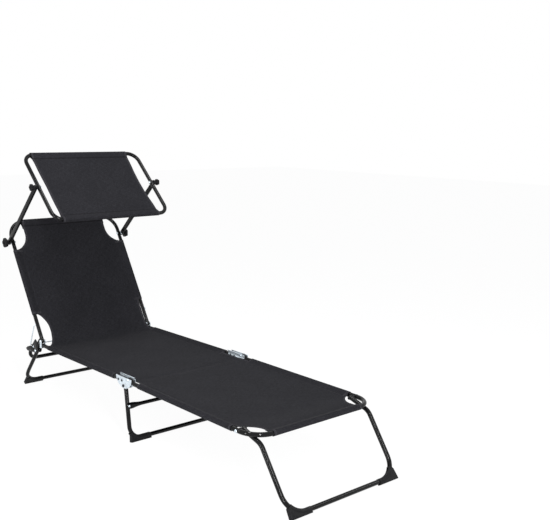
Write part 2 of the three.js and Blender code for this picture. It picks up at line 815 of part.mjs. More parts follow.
// A slit sleeve round a leg's corner, with a wedge under it that stands on the floor.
// It is drawn in the plane of the leg, from the axis of the leg's side and that of its bar.
function footPad({ footHalfWidth, bar, above, cornerRadius }) {
  const upAngle = angleBetween(bar, above);
  const lean = (above.halfWidth - footHalfWidth) / Math.hypot(above.y - bar.y, above.z - bar.z);
  const bendCentre = new THREE.Vector2(-cornerRadius, cornerRadius);
  const endAngle = Math.atan2(padSideHeight - cornerRadius, cornerRadius - padSideInset);
  const towards = (angle, reach) => new THREE.Vector2(reach, 0)
    .rotateAround(new THREE.Vector2(), angle)
    .add(bendCentre);
  const axisLine = new THREE.Path()
    .absarc(bendCentre.x, bendCentre.y, cornerRadius, 0, -Math.PI / 2, true)
    .getPoints(arcSteps);
  const slab = (points, halfThickness) => new THREE.ExtrudeGeometry(new THREE.Shape(points), {
    depth: 2 * halfThickness,
    bevelEnabled: false,
  }).translate(0, 0, -halfThickness);
  const inLegPlane = (geometry) => geometry
    .translate(footHalfWidth, 0, 0)
    .rotateX(upAngle)
    .translate(0, bar.y, bar.z);
  const wedge = slab([
    new THREE.Vector2(-padReach, 0),
    new THREE.Vector2(-padReach, -padUnder),
    new THREE.Vector2(0, -padUnder),
    new THREE.Vector2(-padSideInset, padSideHeight),
    new THREE.Vector2(tubeRadius, cornerRadius),
    ...axisLine,
  ], padHalfThickness);
  const aboveEnd = slab([
    bendCentre,
    towards(endAngle, padReach + cutOverrun),
    towards(0, padReach + cutOverrun),
    towards(Math.PI / 2, padReach + cutOverrun),
  ], cutOverrun);
  const slot = slab([
    new THREE.Vector2(-padReach - cutOverrun, cornerRadius),
    bendCentre,
    ...axisLine,
    new THREE.Vector2(-padReach - cutOverrun, 0),
  ], padSlotHalfWidth);
  const sideLength = cornerRadius + cutOverrun;
  const round = (radius, reach) => tube([
    corner(footHalfWidth + lean * sideLength, along(bar, upAngle, sideLength)),
    corner(footHalfWidth, bar, cornerRadius),
    corner(footHalfWidth - reach, bar),
  ], radius);
  const floorSide = 2 * (padReach + cutOverrun);
  const floor = new THREE.BoxGeometry(floorSide, floorSide, floorSide)
    .translate(footHalfWidth, bar.y, -floorSide / 2);
  return cut(
    join(round(tubeRadius + padWall, padReach), inLegPlane(wedge)),
    inLegPlane(aboveEnd),
    inLegPlane(slot),
    round(tubeRadius + sleeveGap, padReach + cutOverrun),
    floor,
  );
}

function addLeg(name, design, geometry = leg(design)) {
  const knee = design.knees[0].place;
  add(`${name}_leg`, geometry, 'blackPaint');
  addPair(`${name}_foot_pad`, footPad({
    ...design,
    above: { halfWidth: design.halfWidth, y: knee.y, z: knee.z },
  }), 'blackPlastic');
}

addLeg('front', {
  halfWidth: frontLegHalfWidth,
  footHalfWidth: frontLegHalfWidth,
  pin: frontPin,
  knees: [corner(frontLegHalfWidth, frontKnee, frontKneeRadius)],
  bar: frontBar,
  cornerRadius: frontCornerRadius,
});
addLeg('rear', {
  halfWidth: frameHalfWidth,
  footHalfWidth: frameHalfWidth,
  pin: rearPin,
  knees: [corner(frameHalfWidth, rearKnee, rearKneeRadius)],
  bar: rearBar,
  cornerRadius: rearCornerRadius,
});

// The front leg folds inside the foot frame, so its pins carry a spacer between the tubes
addPair('front_leg_pivot', hingePin(frontPin, frontLegHalfWidth - tubeRadius, frameHalfWidth + tubeRadius, {
  collars: [{
    radius: spacerRadius,
    from: frontLegHalfWidth + tubeRadius + touchGap,
    to: frameHalfWidth - tubeRadius - touchGap,
  }],
}), 'zinc');

// Middle leg with a stretcher riveted to its front

const midLegAngle = angleBetween(midBar, midPin);

function midLegPlaceAt(height) {
  const share = (height - midBar.z) / (midPin.z - midBar.z);
  return { y: THREE.MathUtils.lerp(midBar.y, midPin.y, share), z: height };
}

const midKnee = midLegPlaceAt(midKneeHeight);
const stretcherLevel = midLegPlaceAt(stretcherHeight);
const splayShare = (midKneeHeight - stretcherHeight) / (midKneeHeight - midBar.z);
const stretcherHalfWidth = THREE.MathUtils.lerp(frameHalfWidth, midFootHalfWidth, splayShare);
const stretcherFace = tubeRadius + touchGap;

// Local Y runs up the leg and local Z points out of its front
function onMidLeg(geometry) {
  return laidFrom(geometry, stretcherLevel, midLegAngle);
}

function alongLegDepth(radius, fromZ, toZ, sides = pinSides) {
  return new THREE.CylinderGeometry(radius, radius, toZ - fromZ, sides)
    .rotateX(Math.PI / 2)
    .translate(stretcherHalfWidth, 0, (fromZ + toZ) / 2);
}

function stretcher() {
  const flatStart = stretcherHalfWidth + tubeRadius - stretcherEndInset - stretcherFlatLength;
  const flatEnd = new THREE.BoxGeometry(stretcherFlatLength, stretcherFlatHeight, stretcherFlatThickness)
    .translate(flatStart + stretcherFlatLength / 2, 0, stretcherFace + stretcherFlatThickness / 2);
  const barRadius = stretcherDiameter / 2;
  const bar = new THREE.CylinderGeometry(barRadius, barRadius, 2 * flatStart, tubeSides)
    .rotateZ(Math.PI / 2)
    .translate(0, 0, stretcherFace + stretcherFlatThickness / 2);
  const flare = new THREE.Shape()
    .moveTo(0, -stretcherFlatHeight / 2)
    .lineTo(0, stretcherFlatHeight / 2)
    .lineTo(-stretcherFlatLength, stretcherDiameter / 2)
    .lineTo(-stretcherFlatLength, -stretcherDiameter / 2);
  const flareSolid = new THREE.ExtrudeGeometry(flare, { depth: stretcherFlatThickness, bevelEnabled: false })
    .translate(flatStart, 0, stretcherFace);
  const whole = join(bar, ...withMirror(join(flatEnd, flareSolid)));
  const hole = alongLegDepth(rivetRadius + holeGap, 0, cutOverrun);
  return onMidLeg(cut(whole, ...withMirror(hole)));
}

function stretcherRivet() {
  const from = -tubeRadius - touchGap;
  const to = stretcherFace + stretcherFlatThickness + touchGap;
  const profile = [
    [0, from - rivetHeadThickness],
    [rivetHeadRadius, from - rivetHeadThickness],
    [rivetHeadRadius, from],
    [rivetRadius, from],
    [rivetRadius, to],
    [rivetHeadRadius, to],
    [rivetHeadRadius, to + rivetHeadThickness],
    [0, to + rivetHeadThickness],
  ].map(([across, reach]) => new THREE.Vector2(across, reach));
  const turned = new THREE.LatheGeometry(profile, pinSides).rotateX(Math.PI / 2);
  return onMidLeg(turned.translate(stretcherHalfWidth, 0, 0));
}

const midLegHole = onMidLeg(alongLegDepth(rivetRadius + holeGap, -cutOverrun, cutOverrun));
const midLegDesign = {
  halfWidth: frameHalfWidth,
  footHalfWidth: midFootHalfWidth,
  pin: midPin,
  knees: [corner(frameHalfWidth, midKnee, midKneeRadius)],
  bar: midBar,
  cornerRadius: midCornerRadius,
};
addLeg('mid', midLegDesign, cut(leg(midLegDesign), ...withMirror(midLegHole)));
add('mid_leg_stretcher', stretcher(), 'blackPaint');
addPair('stretcher_rivet', stretcherRivet(), 'zinc');

// Covers

const coverNotchX = frameHalfWidth - hingeNotchDepth;

function sagAt(across, y, fadeStart, fadeEnd, sag) {
  const rise = THREE.MathUtils.smoothstep(y, fadeStart, fadeStart + coverFadeLength);
  const fall = 1 - THREE.MathUtils.smoothstep(y, fadeEnd - coverFadeLength, fadeEnd);
  return -sag * (1 - across * across) * Math.min(rise, fall);
}

function notchCut(fromY, toY) {
  return throughCut([
    new THREE.Vector2(coverNotchX, fromY),
    new THREE.Vector2(frameHalfWidth + cutOverrun, fromY),
    new THREE.Vector2(frameHalfWidth + cutOverrun, toY),
    new THREE.Vector2(coverNotchX, toY),
  ]);
}

// The cloth is cut back further on the right of the rear hinge than on its left
function hingeCuts(startY, endY, fullness) {
  return [
    cornerCut(frameHalfWidth - leftHingeCutWidth, startY, endY, fullness),
    mirrored(cornerCut(frameHalfWidth - hingeCutWidth, startY, endY, fullness)),
  ];
}

// Its own +Y runs from the front of the seat tube to the rear hinge
function seatCover() {
  const start = coverEndGap - seatTubeStart;
  const end = (rearHingeDistance - seatTubeStart) / Math.cos(seatAngle) - coverStartOverHinge;
  const heightAt = (across, y) => sagAt(across, y, start - coverFadeLength, end, coverSag)
    + rearLift * THREE.MathUtils.smoothstep(y, end - rearLiftLength, end);
  const notchEnd = hingeNotchLength - seatTubeStart;
  return laidFrom(sleevedCover({
    panel: clothPanel(frameHalfWidth, start, end, heightAt),
    sleeves: withMirror(alongBar(sleeveRadius, frameHalfWidth, notchEnd, end)),
    bores: withMirror(alongBar(sleeveBore, frameHalfWidth, start - cutOverrun, end + cutOverrun)),
    cuts: [
      ...withMirror(notchCut(start - cutOverrun, notchEnd)),
      ...hingeCuts(end - hingeCutSeat, end, hingeCutFullnessShare),
    ],
  }), seatStart, seatAngle);
}

// Its own +Y runs from the middle hinge back to the foot bar's far end
function footCover() {
  const end = footLength - footCrankDistance;
  const footStart = coverEndGap - footCrankDistance;
  const notchEnd = hingeNotchLength - footCrankDistance;
  const heightAt = (across, y) => sagAt(across, y, footStart - coverFadeLength, end, coverSag);
  const barWidth = frameHalfWidth - footCutWidth;
  const endBar = (radius) => crossBar(radius, -barWidth, barWidth, { y: end, z: 0 }, sleeveSides);
  return sleevedCover({
    panel: clothPanel(frameHalfWidth, footStart, end, heightAt),
    sleeves: [
      ...withMirror(alongBar(sleeveRadius, frameHalfWidth, notchEnd, end - footCutLength)),
      endBar(sleeveRadius),
    ],
    bores: [
      ...withMirror(alongBar(sleeveBore, frameHalfWidth, notchEnd - cutOverrun, end)),
      crossBar(sleeveBore, -frameHalfWidth, frameHalfWidth, { y: end, z: 0 }, sleeveSides),
    ],
    cuts: [
      ...withMirror(notchCut(footStart - cutOverrun, notchEnd)),
      ...withMirror(cornerCut(barWidth, end - footCutLength, end)),
    ],
  });
}

function backCover() {
  const start = coverStartOverHinge;
  const end = backLength;
  const heightAt = (across, y) => sagAt(across, y, start, end, coverSag);
  const barWidth = frameHalfWidth - backCutWidth;
  const endBar = (radius) => crossBar(radius, -barWidth, barWidth, { y: end, z: 0 }, sleeveSides);
  return laidFrom(sleevedCover({
    panel: clothPanel(frameHalfWidth, start, end, heightAt),
    sleeves: [
      ...withMirror(alongBar(sleeveRadius, frameHalfWidth, hingeCutBack, end - backCutLength)),
      endBar(sleeveRadius),
    ],
    bores: [
      ...withMirror(alongBar(sleeveBore, frameHalfWidth, start - cutOverrun, end)),
      crossBar(sleeveBore, -frameHalfWidth, frameHalfWidth, { y: end, z: 0 }, sleeveSides),
    ],
    cuts: [
      ...hingeCuts(hingeCutBack, start),
      ...withMirror(cornerCut(barWidth, end - backCutLength, end)),
    ],
  }), backPin, backAngle);
}

function canopyCover() {
  const half = canopyLength / 2;
  const barWidth = canopyHalfWidth - canopyCornerRadius;
  const heightAt = (across, y) => sagAt(across, y, -half, half, canopySag);
  const bar = (radius, reach, y) => crossBar(radius, -reach, reach, { y, z: 0 }, sleeveSides);
  return laidFrom(sleevedCover({
    panel: clothPanel(barWidth, -half, half, heightAt),
    sleeves: [bar(sleeveRadius, barWidth, -half), bar(sleeveRadius, barWidth, half)],
    bores: [bar(sleeveBore, canopyHalfWidth, -half), bar(sleeveBore, canopyHalfWidth, half)],
    cuts: [],
  }), canopyPivot, canopyAngle);
}

add('seat_cover', seatCover(), 'cloth');
const footSlope = angleBetween(footBar, footCrank);
add('foot_cover', laidFrom(footCover().rotateZ(Math.PI), footCrank, footSlope), 'cloth');
add('back_cover', backCover(), 'cloth');
add('canopy_cover', canopyCover(), 'cloth');

// The finished lounger is centred on its length
const box = new THREE.Box3().setFromObject(lounger);
lounger.position.y = -(box.min.y + box.max.y) / 2;

export default lounger;
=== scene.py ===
# %% [markdown]
# A folding sun lounger with a tilting canopy.
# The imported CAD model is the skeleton: it holds the sizes, the bodies and the joints.
# This script dresses it. Each tube is bent as a workshop would bend it, each rivet is turned,
# and the cloth starts as a flat cut that is folded round the tubes.

# %% Load the frame and keep its box
import json
import math
from bisect import bisect_right

import bmesh
import bpy
from mathutils import Matrix, Vector, noise
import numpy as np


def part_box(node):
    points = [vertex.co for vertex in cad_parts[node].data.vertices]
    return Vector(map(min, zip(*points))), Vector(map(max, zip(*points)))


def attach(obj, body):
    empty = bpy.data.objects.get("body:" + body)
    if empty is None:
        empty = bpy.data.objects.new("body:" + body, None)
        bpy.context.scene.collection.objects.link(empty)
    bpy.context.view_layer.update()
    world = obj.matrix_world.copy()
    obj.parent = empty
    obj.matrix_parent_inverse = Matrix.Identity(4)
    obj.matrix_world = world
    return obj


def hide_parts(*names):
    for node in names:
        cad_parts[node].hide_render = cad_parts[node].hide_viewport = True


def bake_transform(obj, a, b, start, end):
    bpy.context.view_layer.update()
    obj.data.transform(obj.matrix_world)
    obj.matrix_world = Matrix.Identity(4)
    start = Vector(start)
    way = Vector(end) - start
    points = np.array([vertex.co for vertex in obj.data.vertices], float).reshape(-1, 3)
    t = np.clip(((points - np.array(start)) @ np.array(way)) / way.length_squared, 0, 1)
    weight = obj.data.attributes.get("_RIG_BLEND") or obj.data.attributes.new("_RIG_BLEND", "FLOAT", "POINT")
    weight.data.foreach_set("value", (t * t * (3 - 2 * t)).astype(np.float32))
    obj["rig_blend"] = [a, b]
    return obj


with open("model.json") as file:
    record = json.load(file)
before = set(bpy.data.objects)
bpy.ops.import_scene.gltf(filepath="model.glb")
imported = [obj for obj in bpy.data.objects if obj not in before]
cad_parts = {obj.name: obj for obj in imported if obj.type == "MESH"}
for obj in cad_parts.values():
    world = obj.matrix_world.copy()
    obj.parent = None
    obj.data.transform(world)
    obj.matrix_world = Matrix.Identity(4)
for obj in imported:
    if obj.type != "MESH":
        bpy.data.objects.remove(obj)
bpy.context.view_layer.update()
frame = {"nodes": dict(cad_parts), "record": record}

# %% [markdown]
# The drawing of the lounger is in millimetres, with y = 0 at the middle hinge.
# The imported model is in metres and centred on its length. One function carries a place across,
# so that every number below can be read off the drawing. A place in the side view is a pair:
# how far along, then how far up.

# %% Units and the main sizes
MILLIMETRE = 0.001
LENGTH_SHIFT = -46.1665
FRAME_HALF_WIDTH = 270
TUBE_RADIUS = 8
CHEEK_INNER = 261.6
CHEEK_OUTER = 278.4
MERGE_DISTANCE = 0.00001
SIDES = (("left", 1), ("right", -1))


def at(across, along, up):
    return Vector((across, along + LENGTH_SHIFT, up)) * MILLIMETRE


def further(pin, degrees, distance):
    turn = math.radians(degrees)
    return (pin[0] + distance * math.cos(turn), pin[1] + distance * math.sin(turn))


BACK_ANGLE = 58.9
BACK_PIN = (636.5, 236.2)
BACK_LENGTH = 548
BACK_BAR = further(BACK_PIN, BACK_ANGLE, BACK_LENGTH)
CANOPY_BOLT = further(BACK_PIN, BACK_ANGLE, 457)
CANOPY_PIVOT = (611.5, 878.5)
CANOPY_ANGLE = 43.3
CANOPY_TOP = further(CANOPY_PIVOT, CANOPY_ANGLE, 174)
CANOPY_BOTTOM = further(CANOPY_PIVOT, CANOPY_ANGLE, -174)
BAIL_HOOK = further(BACK_PIN, BACK_ANGLE, 78)
BAIL_BAR = further(BAIL_HOOK, -66, 107)
SEAT_FRONT_END = (2, 226)
MID_SEAT = (300, 222.8)
SEAT_REAR_BEND = (648.5, 219)
LOW_BAR_BEND = (741, 186.2)
LOW_BAR = (769, 131.7)
FOOT_HINGE_END = (-22, 236)
FOOT_CRANK = (-50, 226)
FOOT_BAR = (-693, 225)
print("back bar at", at(0, *BACK_BAR)[:])

# %% [markdown]
# Materials first. Effects that several finishes share are node groups: a slow mottling,
# a fine grain, scuffs, dust that settles on faces that look up, wear on edges, and a plain weave.
# A group only puts out masks and heights. The shader itself stays in each material,
# where its plain values can be seen and changed.

# %% A small kit for node groups
def new_group(name, inputs, outputs):
    tree = bpy.data.node_groups.new(name, "ShaderNodeTree")
    for label, kind, value in inputs:
        socket = tree.interface.new_socket(name=label, in_out="INPUT", socket_type=kind)
        if value is not None:
            socket.default_value = value
    for label in outputs:
        tree.interface.new_socket(name=label, in_out="OUTPUT", socket_type="NodeSocketFloat")
    entry = tree.nodes.new("NodeGroupInput")
    leave = tree.nodes.new("NodeGroupOutput")
    return tree, entry.outputs, leave.inputs


def wire(tree, source, target):
    if isinstance(source, (int, float)):
        target.default_value = source
    else:
        tree.links.new(source, target)


def calculate(tree, operation, first, second=None, third=None):
    node = tree.nodes.new("ShaderNodeMath")
    node.operation = operation
    for value, socket in zip((first, second, third), node.inputs):
        if value is not None:
            wire(tree, value, socket)
    return node.outputs[0]


def spread(tree, value, low, high, new_low=0.0, new_high=1.0):
    node = tree.nodes.new("ShaderNodeMapRange")
    node.interpolation_type = "SMOOTHSTEP"
    for source, socket in zip((value, low, high, new_low, new_high), node.inputs):
        wire(tree, source, socket)
    return node.outputs[0]


def noise_value(tree, vector, scale, detail=2.0, roughness=0.5):
    node = tree.nodes.new("ShaderNodeTexNoise")
    wire(tree, vector, node.inputs["Vector"])
    wire(tree, scale, node.inputs["Scale"])
    node.inputs["Detail"].default_value = detail
    node.inputs["Roughness"].default_value = roughness
    return node.outputs[0]


def axes_of(tree, vector):
    node = tree.nodes.new("ShaderNodeSeparateXYZ")
    tree.links.new(vector, node.inputs["Vector"])
    return node.outputs


print("node kit ready")

# %% [markdown]
# Mottling is the slow change of tone that any real surface has. Grain is its small, even bump.
# Scuffs are short bright scratches: a noise that is stretched a lot along one direction and cut off high.

# %% Shared effects: mottling, grain, scuffs
VECTOR = "NodeSocketVector"
NUMBER = "NodeSocketFloat"

mottling, given, result = new_group(
    "Mottling",
    [("Vector", VECTOR, None), ("Scale", NUMBER, 12.0), ("Low", NUMBER, 0.9), ("High", NUMBER, 1.1)],
    ["Factor"],
)
cloudy = noise_value(mottling, given["Vector"], given["Scale"], 4.0, 0.6)
factor = spread(mottling, cloudy, 0.3, 0.7, given["Low"], given["High"])
mottling.links.new(factor, result["Factor"])

grain, given, result = new_group(
    "Fine grain",
    [("Vector", VECTOR, None), ("Scale", NUMBER, 900.0), ("Coarse share", NUMBER, 0.4)],
    ["Height"],
)
fine = noise_value(grain, given["Vector"], given["Scale"], 2.0)
coarse_scale = calculate(grain, "MULTIPLY", given["Scale"], 0.22)
coarse = noise_value(grain, given["Vector"], coarse_scale, 2.0)
grain.links.new(
    calculate(grain, "MULTIPLY_ADD", coarse, given["Coarse share"], fine),
    result["Height"],
)

scuffs, given, result = new_group(
    "Scuffs",
    [("Vector", VECTOR, None), ("Scale", NUMBER, 60.0), ("Rarity", NUMBER, 0.68)],
    ["Mask"],
)
stretch = scuffs.nodes.new("ShaderNodeMapping")
stretch.inputs["Rotation"].default_value = (0.5, 0.7, 0.4)
stretch.inputs["Scale"].default_value = (1.0, 0.06, 1.0)
scuffs.links.new(given["Vector"], stretch.inputs["Vector"])
streaks = noise_value(scuffs, stretch.outputs["Vector"], given["Scale"], 3.0, 0.65)
rare_end = calculate(scuffs, "ADD", given["Rarity"], 0.06)
scuffs.links.new(spread(scuffs, streaks, given["Rarity"], rare_end), result["Mask"])
print("groups:", mottling.name, grain.name, scuffs.name)

# %% [markdown]
# Dust lies where a face looks up, and wear shows on convex edges. The first reads the surface's
# normal, the second how pointed the mesh is at each vertex. Both are broken up by a noise,
# because an even band looks painted on.

# %% Shared effects: dust and edge wear
dust, given, result = new_group(
    "Settled dust",
    [("Vector", VECTOR, None), ("Scale", NUMBER, 35.0), ("Amount", NUMBER, 0.2)],
    ["Mask"],
)
surface = dust.nodes.new("ShaderNodeNewGeometry")
looks_up = spread(dust, axes_of(dust, surface.outputs["Normal"])["Z"], 0.35, 0.95)
patchy = spread(dust, noise_value(dust, given["Vector"], given["Scale"], 5.0, 0.65), 0.35, 0.7)
dusty = calculate(dust, "MULTIPLY", looks_up, patchy)
dust.links.new(calculate(dust, "MULTIPLY", dusty, given["Amount"]), result["Mask"])

edge_wear, given, result = new_group(
    "Edge wear",
    [("Vector", VECTOR, None), ("Scale", NUMBER, 90.0), ("Amount", NUMBER, 0.6)],
    ["Mask"],
)
surface = edge_wear.nodes.new("ShaderNodeNewGeometry")
pointed = spread(edge_wear, surface.outputs["Pointiness"], 0.53, 0.62)
broken = spread(edge_wear, noise_value(edge_wear, given["Vector"], given["Scale"], 4.0), 0.42, 0.62)
worn = calculate(edge_wear, "MULTIPLY", pointed, broken)
edge_wear.links.new(calculate(edge_wear, "MULTIPLY", worn, given["Amount"]), result["Mask"])
print("groups:", dust.name, edge_wear.name)

# %% [markdown]
# The cloth is a plain weave: at each crossing either the thread along the lounger or the one
# across it lies on top. The cosine of the place is a thread's round back, and the product of both
# cosines tells which thread is above. Places come from the cloth's own flat cut, in metres,
# so that the threads turn with the cloth where it wraps a tube.

# %% Shared effects: weave and stitches
weave, given, result = new_group(
    "Plain weave",
    [("Flat cut", VECTOR, None), ("Threads per metre", NUMBER, 1150.0)],
    ["Height", "Upper thread"],
)
cut_parts = axes_of(weave, given["Flat cut"])
half_turns = calculate(weave, "MULTIPLY", given["Threads per metre"], math.pi)
across_turn = calculate(weave, "COSINE", calculate(weave, "MULTIPLY", cut_parts["X"], half_turns))
along_turn = calculate(weave, "COSINE", calculate(weave, "MULTIPLY", cut_parts["Y"], half_turns))
above = calculate(weave, "MULTIPLY_ADD", calculate(weave, "MULTIPLY", across_turn, along_turn), 0.5, 0.5)
below = calculate(weave, "SUBTRACT", 1.0, above)
long_thread = calculate(weave, "MULTIPLY", calculate(weave, "ABSOLUTE", across_turn), above)
cross_thread = calculate(weave, "MULTIPLY", calculate(weave, "ABSOLUTE", along_turn), below)
weave.links.new(calculate(weave, "MAXIMUM", long_thread, cross_thread), result["Height"])
weave.links.new(above, result["Upper thread"])

stitches, given, result = new_group(
    "Stitch line",
    [("Distance", NUMBER, 1.0), ("Along", NUMBER, 0.0), ("Stitch length", NUMBER, 0.004)],
    ["Thread", "Pucker and painted shade"],
)
turns = calculate(stitches, "DIVIDE", given["Along"], given["Stitch length"])
wave = calculate(stitches, "SINE", calculate(stitches, "MULTIPLY", turns, 2 * math.pi))
dash = spread(stitches, wave, -0.55, -0.25)
off_line = calculate(stitches, "ABSOLUTE", given["Distance"])
near_line = spread(stitches, off_line, 0.0009, 0.0004)
stitches.links.new(calculate(stitches, "MULTIPLY", dash, near_line), result["Thread"])
# The pucker mask is used as a bump and also as painted shade that darkens the cloth near the seam.
stitches.links.new(spread(stitches, off_line, 0.004, 0.0), result["Pucker and painted shade"])
print("groups:", weave.name, stitches.name)

# %% [markdown]
# One helper starts a material and gives the inputs of its Principled shader, another places
# a group in it. Colours are mixed in the material, so that its tones can be read in one place.

# %% A small kit for materials
def new_finish(name, **plain_values):
    material = bpy.data.materials.new(name)
    material.use_nodes = True
    tree = material.node_tree
    shader = tree.nodes["Principled BSDF"]
    for label, value in plain_values.items():
        shader.inputs[label.replace("_", " ")].default_value = value
    places = tree.nodes.new("ShaderNodeTexCoord")
    return material, tree, shader.inputs, places.outputs


def place_group(tree, group_tree, **values):
    node = tree.nodes.new("ShaderNodeGroup")
    node.node_tree = group_tree
    for label, value in values.items():
        wire(tree, value, node.inputs[label.replace("_", " ")])
    return node.outputs


def tint(tree, share, plain, other):
    node = tree.nodes.new("ShaderNodeMix")
    node.data_type = "RGBA"
    wire(tree, share, node.inputs["Factor"])
    for value, socket in ((plain, node.inputs[6]), (other, node.inputs[7])):
        if isinstance(value, tuple):
            socket.default_value = (*value, 1.0)
        else:
            tree.links.new(value, socket)
    return node.outputs[2]


def shade_by(tree, colour, factor):
    node = tree.nodes.new("ShaderNodeVectorMath")
    node.operation = "SCALE"
    if isinstance(colour, tuple):
        node.inputs[0].default_value = colour
    else:
        tree.links.new(colour, node.inputs[0])
    wire(tree, factor, node.inputs["Scale"])
    return node.outputs[0]


def bump(tree, height, strength, distance, normal):
    node = tree.nodes.new("ShaderNodeBump")
    node.inputs["Strength"].default_value = strength
    node.inputs["Distance"].default_value = distance
    tree.links.new(height, node.inputs["Height"])
    tree.links.new(node.outputs["Normal"], normal)


def grain_bump(tree, spot, scale, strength, distance, normal):
    height = place_group(tree, grain, Vector=spot, Scale=scale)["Height"]
    bump(tree, height, strength, distance, normal)


print("material kit ready")

# %% [markdown]
# The tubes are powder coated in glossy black: a nearly black base with a clear, slightly wavy coat,
# a little dust on top and a few pale scuffs. The toothed plates and the canopy's arms have
# a duller paint, worn to grey along their edges.

# %% Black powder coat for the tubes
tube_coat, tree, shader, places = new_finish(
    "Glossy black powder coat",
    Coat_Roughness=0.05,
    Specular_IOR_Level=0.02,
)
spot = places["Object"]
tone = place_group(tree, mottling, Vector=spot, Scale=9.0, Low=0.8, High=1.25)["Factor"]
dust_mask = place_group(tree, dust, Vector=spot, Scale=28.0, Amount=0.02)["Mask"]
scuff_mask = place_group(tree, scuffs, Vector=spot, Scale=40.0, Rarity=0.78)["Mask"]
coat_colour = shade_by(tree, (0.0032, 0.0032, 0.0038), tone)
coat_colour = tint(tree, dust_mask, coat_colour, (0.045, 0.044, 0.043))
coat_colour = tint(tree, calculate(tree, "MULTIPLY", scuff_mask, 0.25), coat_colour, (0.06, 0.06, 0.063))
tree.links.new(coat_colour, shader["Base Color"])
dulled = calculate(tree, "MAXIMUM", dust_mask, calculate(tree, "MULTIPLY", scuff_mask, 0.5))
tree.links.new(spread(tree, dulled, 0.0, 1.0, 0.11, 0.45), shader["Roughness"])
tree.links.new(spread(tree, dulled, 0.0, 0.6, 0.38, 0.06), shader["Coat Weight"])
grain_bump(tree, spot, 260.0, 0.015, 0.0004, shader["Normal"])

# %% Black paint for the pressed plates and the arms
plate_paint, tree, shader, places = new_finish(
    "Black plate paint",
    Coat_Roughness=0.06,
    Specular_IOR_Level=0.08,
)
spot = places["Object"]
tone = place_group(tree, mottling, Vector=spot, Scale=22.0, Low=0.8, High=1.3)["Factor"]
wear_mask = place_group(tree, edge_wear, Vector=spot, Scale=120.0, Amount=0.55)["Mask"]
scuff_mask = place_group(tree, scuffs, Vector=spot, Scale=90.0, Rarity=0.66)["Mask"]
paint_colour = shade_by(tree, (0.006, 0.006, 0.0068), tone)
paint_colour = tint(tree, calculate(tree, "MULTIPLY", scuff_mask, 0.3), paint_colour, (0.10, 0.10, 0.105))
paint_colour = tint(tree, wear_mask, paint_colour, (0.20, 0.20, 0.21))
tree.links.new(paint_colour, shader["Base Color"])
tree.links.new(spread(tree, tone, 0.8, 1.3, 0.2, 0.32), shader["Roughness"])
tree.links.new(spread(tree, wear_mask, 0.0, 0.5, 0.1, 0.02), shader["Coat Weight"])
grain_bump(tree, spot, 400.0, 0.04, 0.0004, shader["Normal"])
print("black finishes:", tube_coat.name, plate_paint.name)

# %% [markdown]
# The hinge plates, rivets, bolts and the bail wire are zinc plated: pale metal with a bluish cast,
# cloudy in its polish, with faint brushing and darker stains. The rivets of the middle hinge
# and the pivot of its leg are painted near black, which stands for shade round their heads,
# and real wear rubs them bright at their rims.

# %% Blue zinc plating
zinc, tree, shader, places = new_finish("Blue zinc plating", Metallic=0.85, Specular_IOR_Level=0.5)
spot = places["Object"]
cloud = place_group(tree, mottling, Vector=spot, Scale=60.0, Low=0.82, High=1.08)["Factor"]
brushed = place_group(tree, scuffs, Vector=spot, Scale=240.0, Rarity=0.52)["Mask"]
stain = place_group(tree, mottling, Vector=spot, Scale=140.0, Low=0.0, High=0.14)["Factor"]
metal_colour = shade_by(tree, (0.78, 0.87, 0.94), cloud)
metal_colour = tint(tree, stain, metal_colour, (0.34, 0.36, 0.39))
metal_colour = tint(tree, calculate(tree, "MULTIPLY", brushed, 0.25), metal_colour, (0.78, 0.81, 0.84))
tree.links.new(metal_colour, shader["Base Color"])
tree.links.new(spread(tree, cloud, 0.82, 1.08, 0.46, 0.3), shader["Roughness"])
grain_bump(tree, spot, 800.0, 0.06, 0.0003, shader["Normal"])

# %% Steel darkened as painted shade for the middle hinge
shade_darkened_steel, tree, shader, places = new_finish("Steel darkened as painted shade", Metallic=0.7, Specular_IOR_Level=0.4)
spot = places["Object"]
cloud = place_group(tree, mottling, Vector=spot, Scale=160.0, Low=0.75, High=1.2)["Factor"]
rubbed = place_group(tree, edge_wear, Vector=spot, Scale=200.0, Amount=0.4)["Mask"]
# The near-black base colour is painted shade round the rivet heads; the bright rims are wear.
shade_and_rubbed_steel_colour = shade_by(tree, (0.035, 0.037, 0.042), cloud)
shade_and_rubbed_steel_colour = tint(tree, rubbed, shade_and_rubbed_steel_colour, (0.22, 0.23, 0.25))
tree.links.new(shade_and_rubbed_steel_colour, shader["Base Color"])
tree.links.new(spread(tree, cloud, 0.75, 1.2, 0.5, 0.34), shader["Roughness"])
grain_bump(tree, spot, 900.0, 0.08, 0.0003, shader["Normal"])
print("metal finishes:", zinc.name, shade_darkened_steel.name)

# %% [markdown]
# Foot pads and knobs are moulded in black plastic with a fine leather-like grain.
# Moulded edges that rub on the ground or in a hand turn grey and a little smoother.

# %% Moulded black plastic
plastic, tree, shader, places = new_finish("Moulded black plastic", Specular_IOR_Level=0.15)
spot = places["Object"]
tone = place_group(tree, mottling, Vector=spot, Scale=40.0, Low=0.85, High=1.25)["Factor"]
wear_mask = place_group(tree, edge_wear, Vector=spot, Scale=160.0, Amount=0.4)["Mask"]
dust_mask = place_group(tree, dust, Vector=spot, Scale=60.0, Amount=0.15)["Mask"]
plastic_colour = shade_by(tree, (0.0075, 0.0075, 0.0085), tone)
plastic_colour = tint(tree, wear_mask, plastic_colour, (0.06, 0.06, 0.063))
plastic_colour = tint(tree, dust_mask, plastic_colour, (0.15, 0.145, 0.14))
tree.links.new(plastic_colour, shader["Base Color"])
tree.links.new(spread(tree, wear_mask, 0.0, 0.4, 0.58, 0.42), shader["Roughness"])
grain_bump(tree, spot, 1500.0, 0.25, 0.0004, shader["Normal"])
print("plastic finish:", plastic.name)
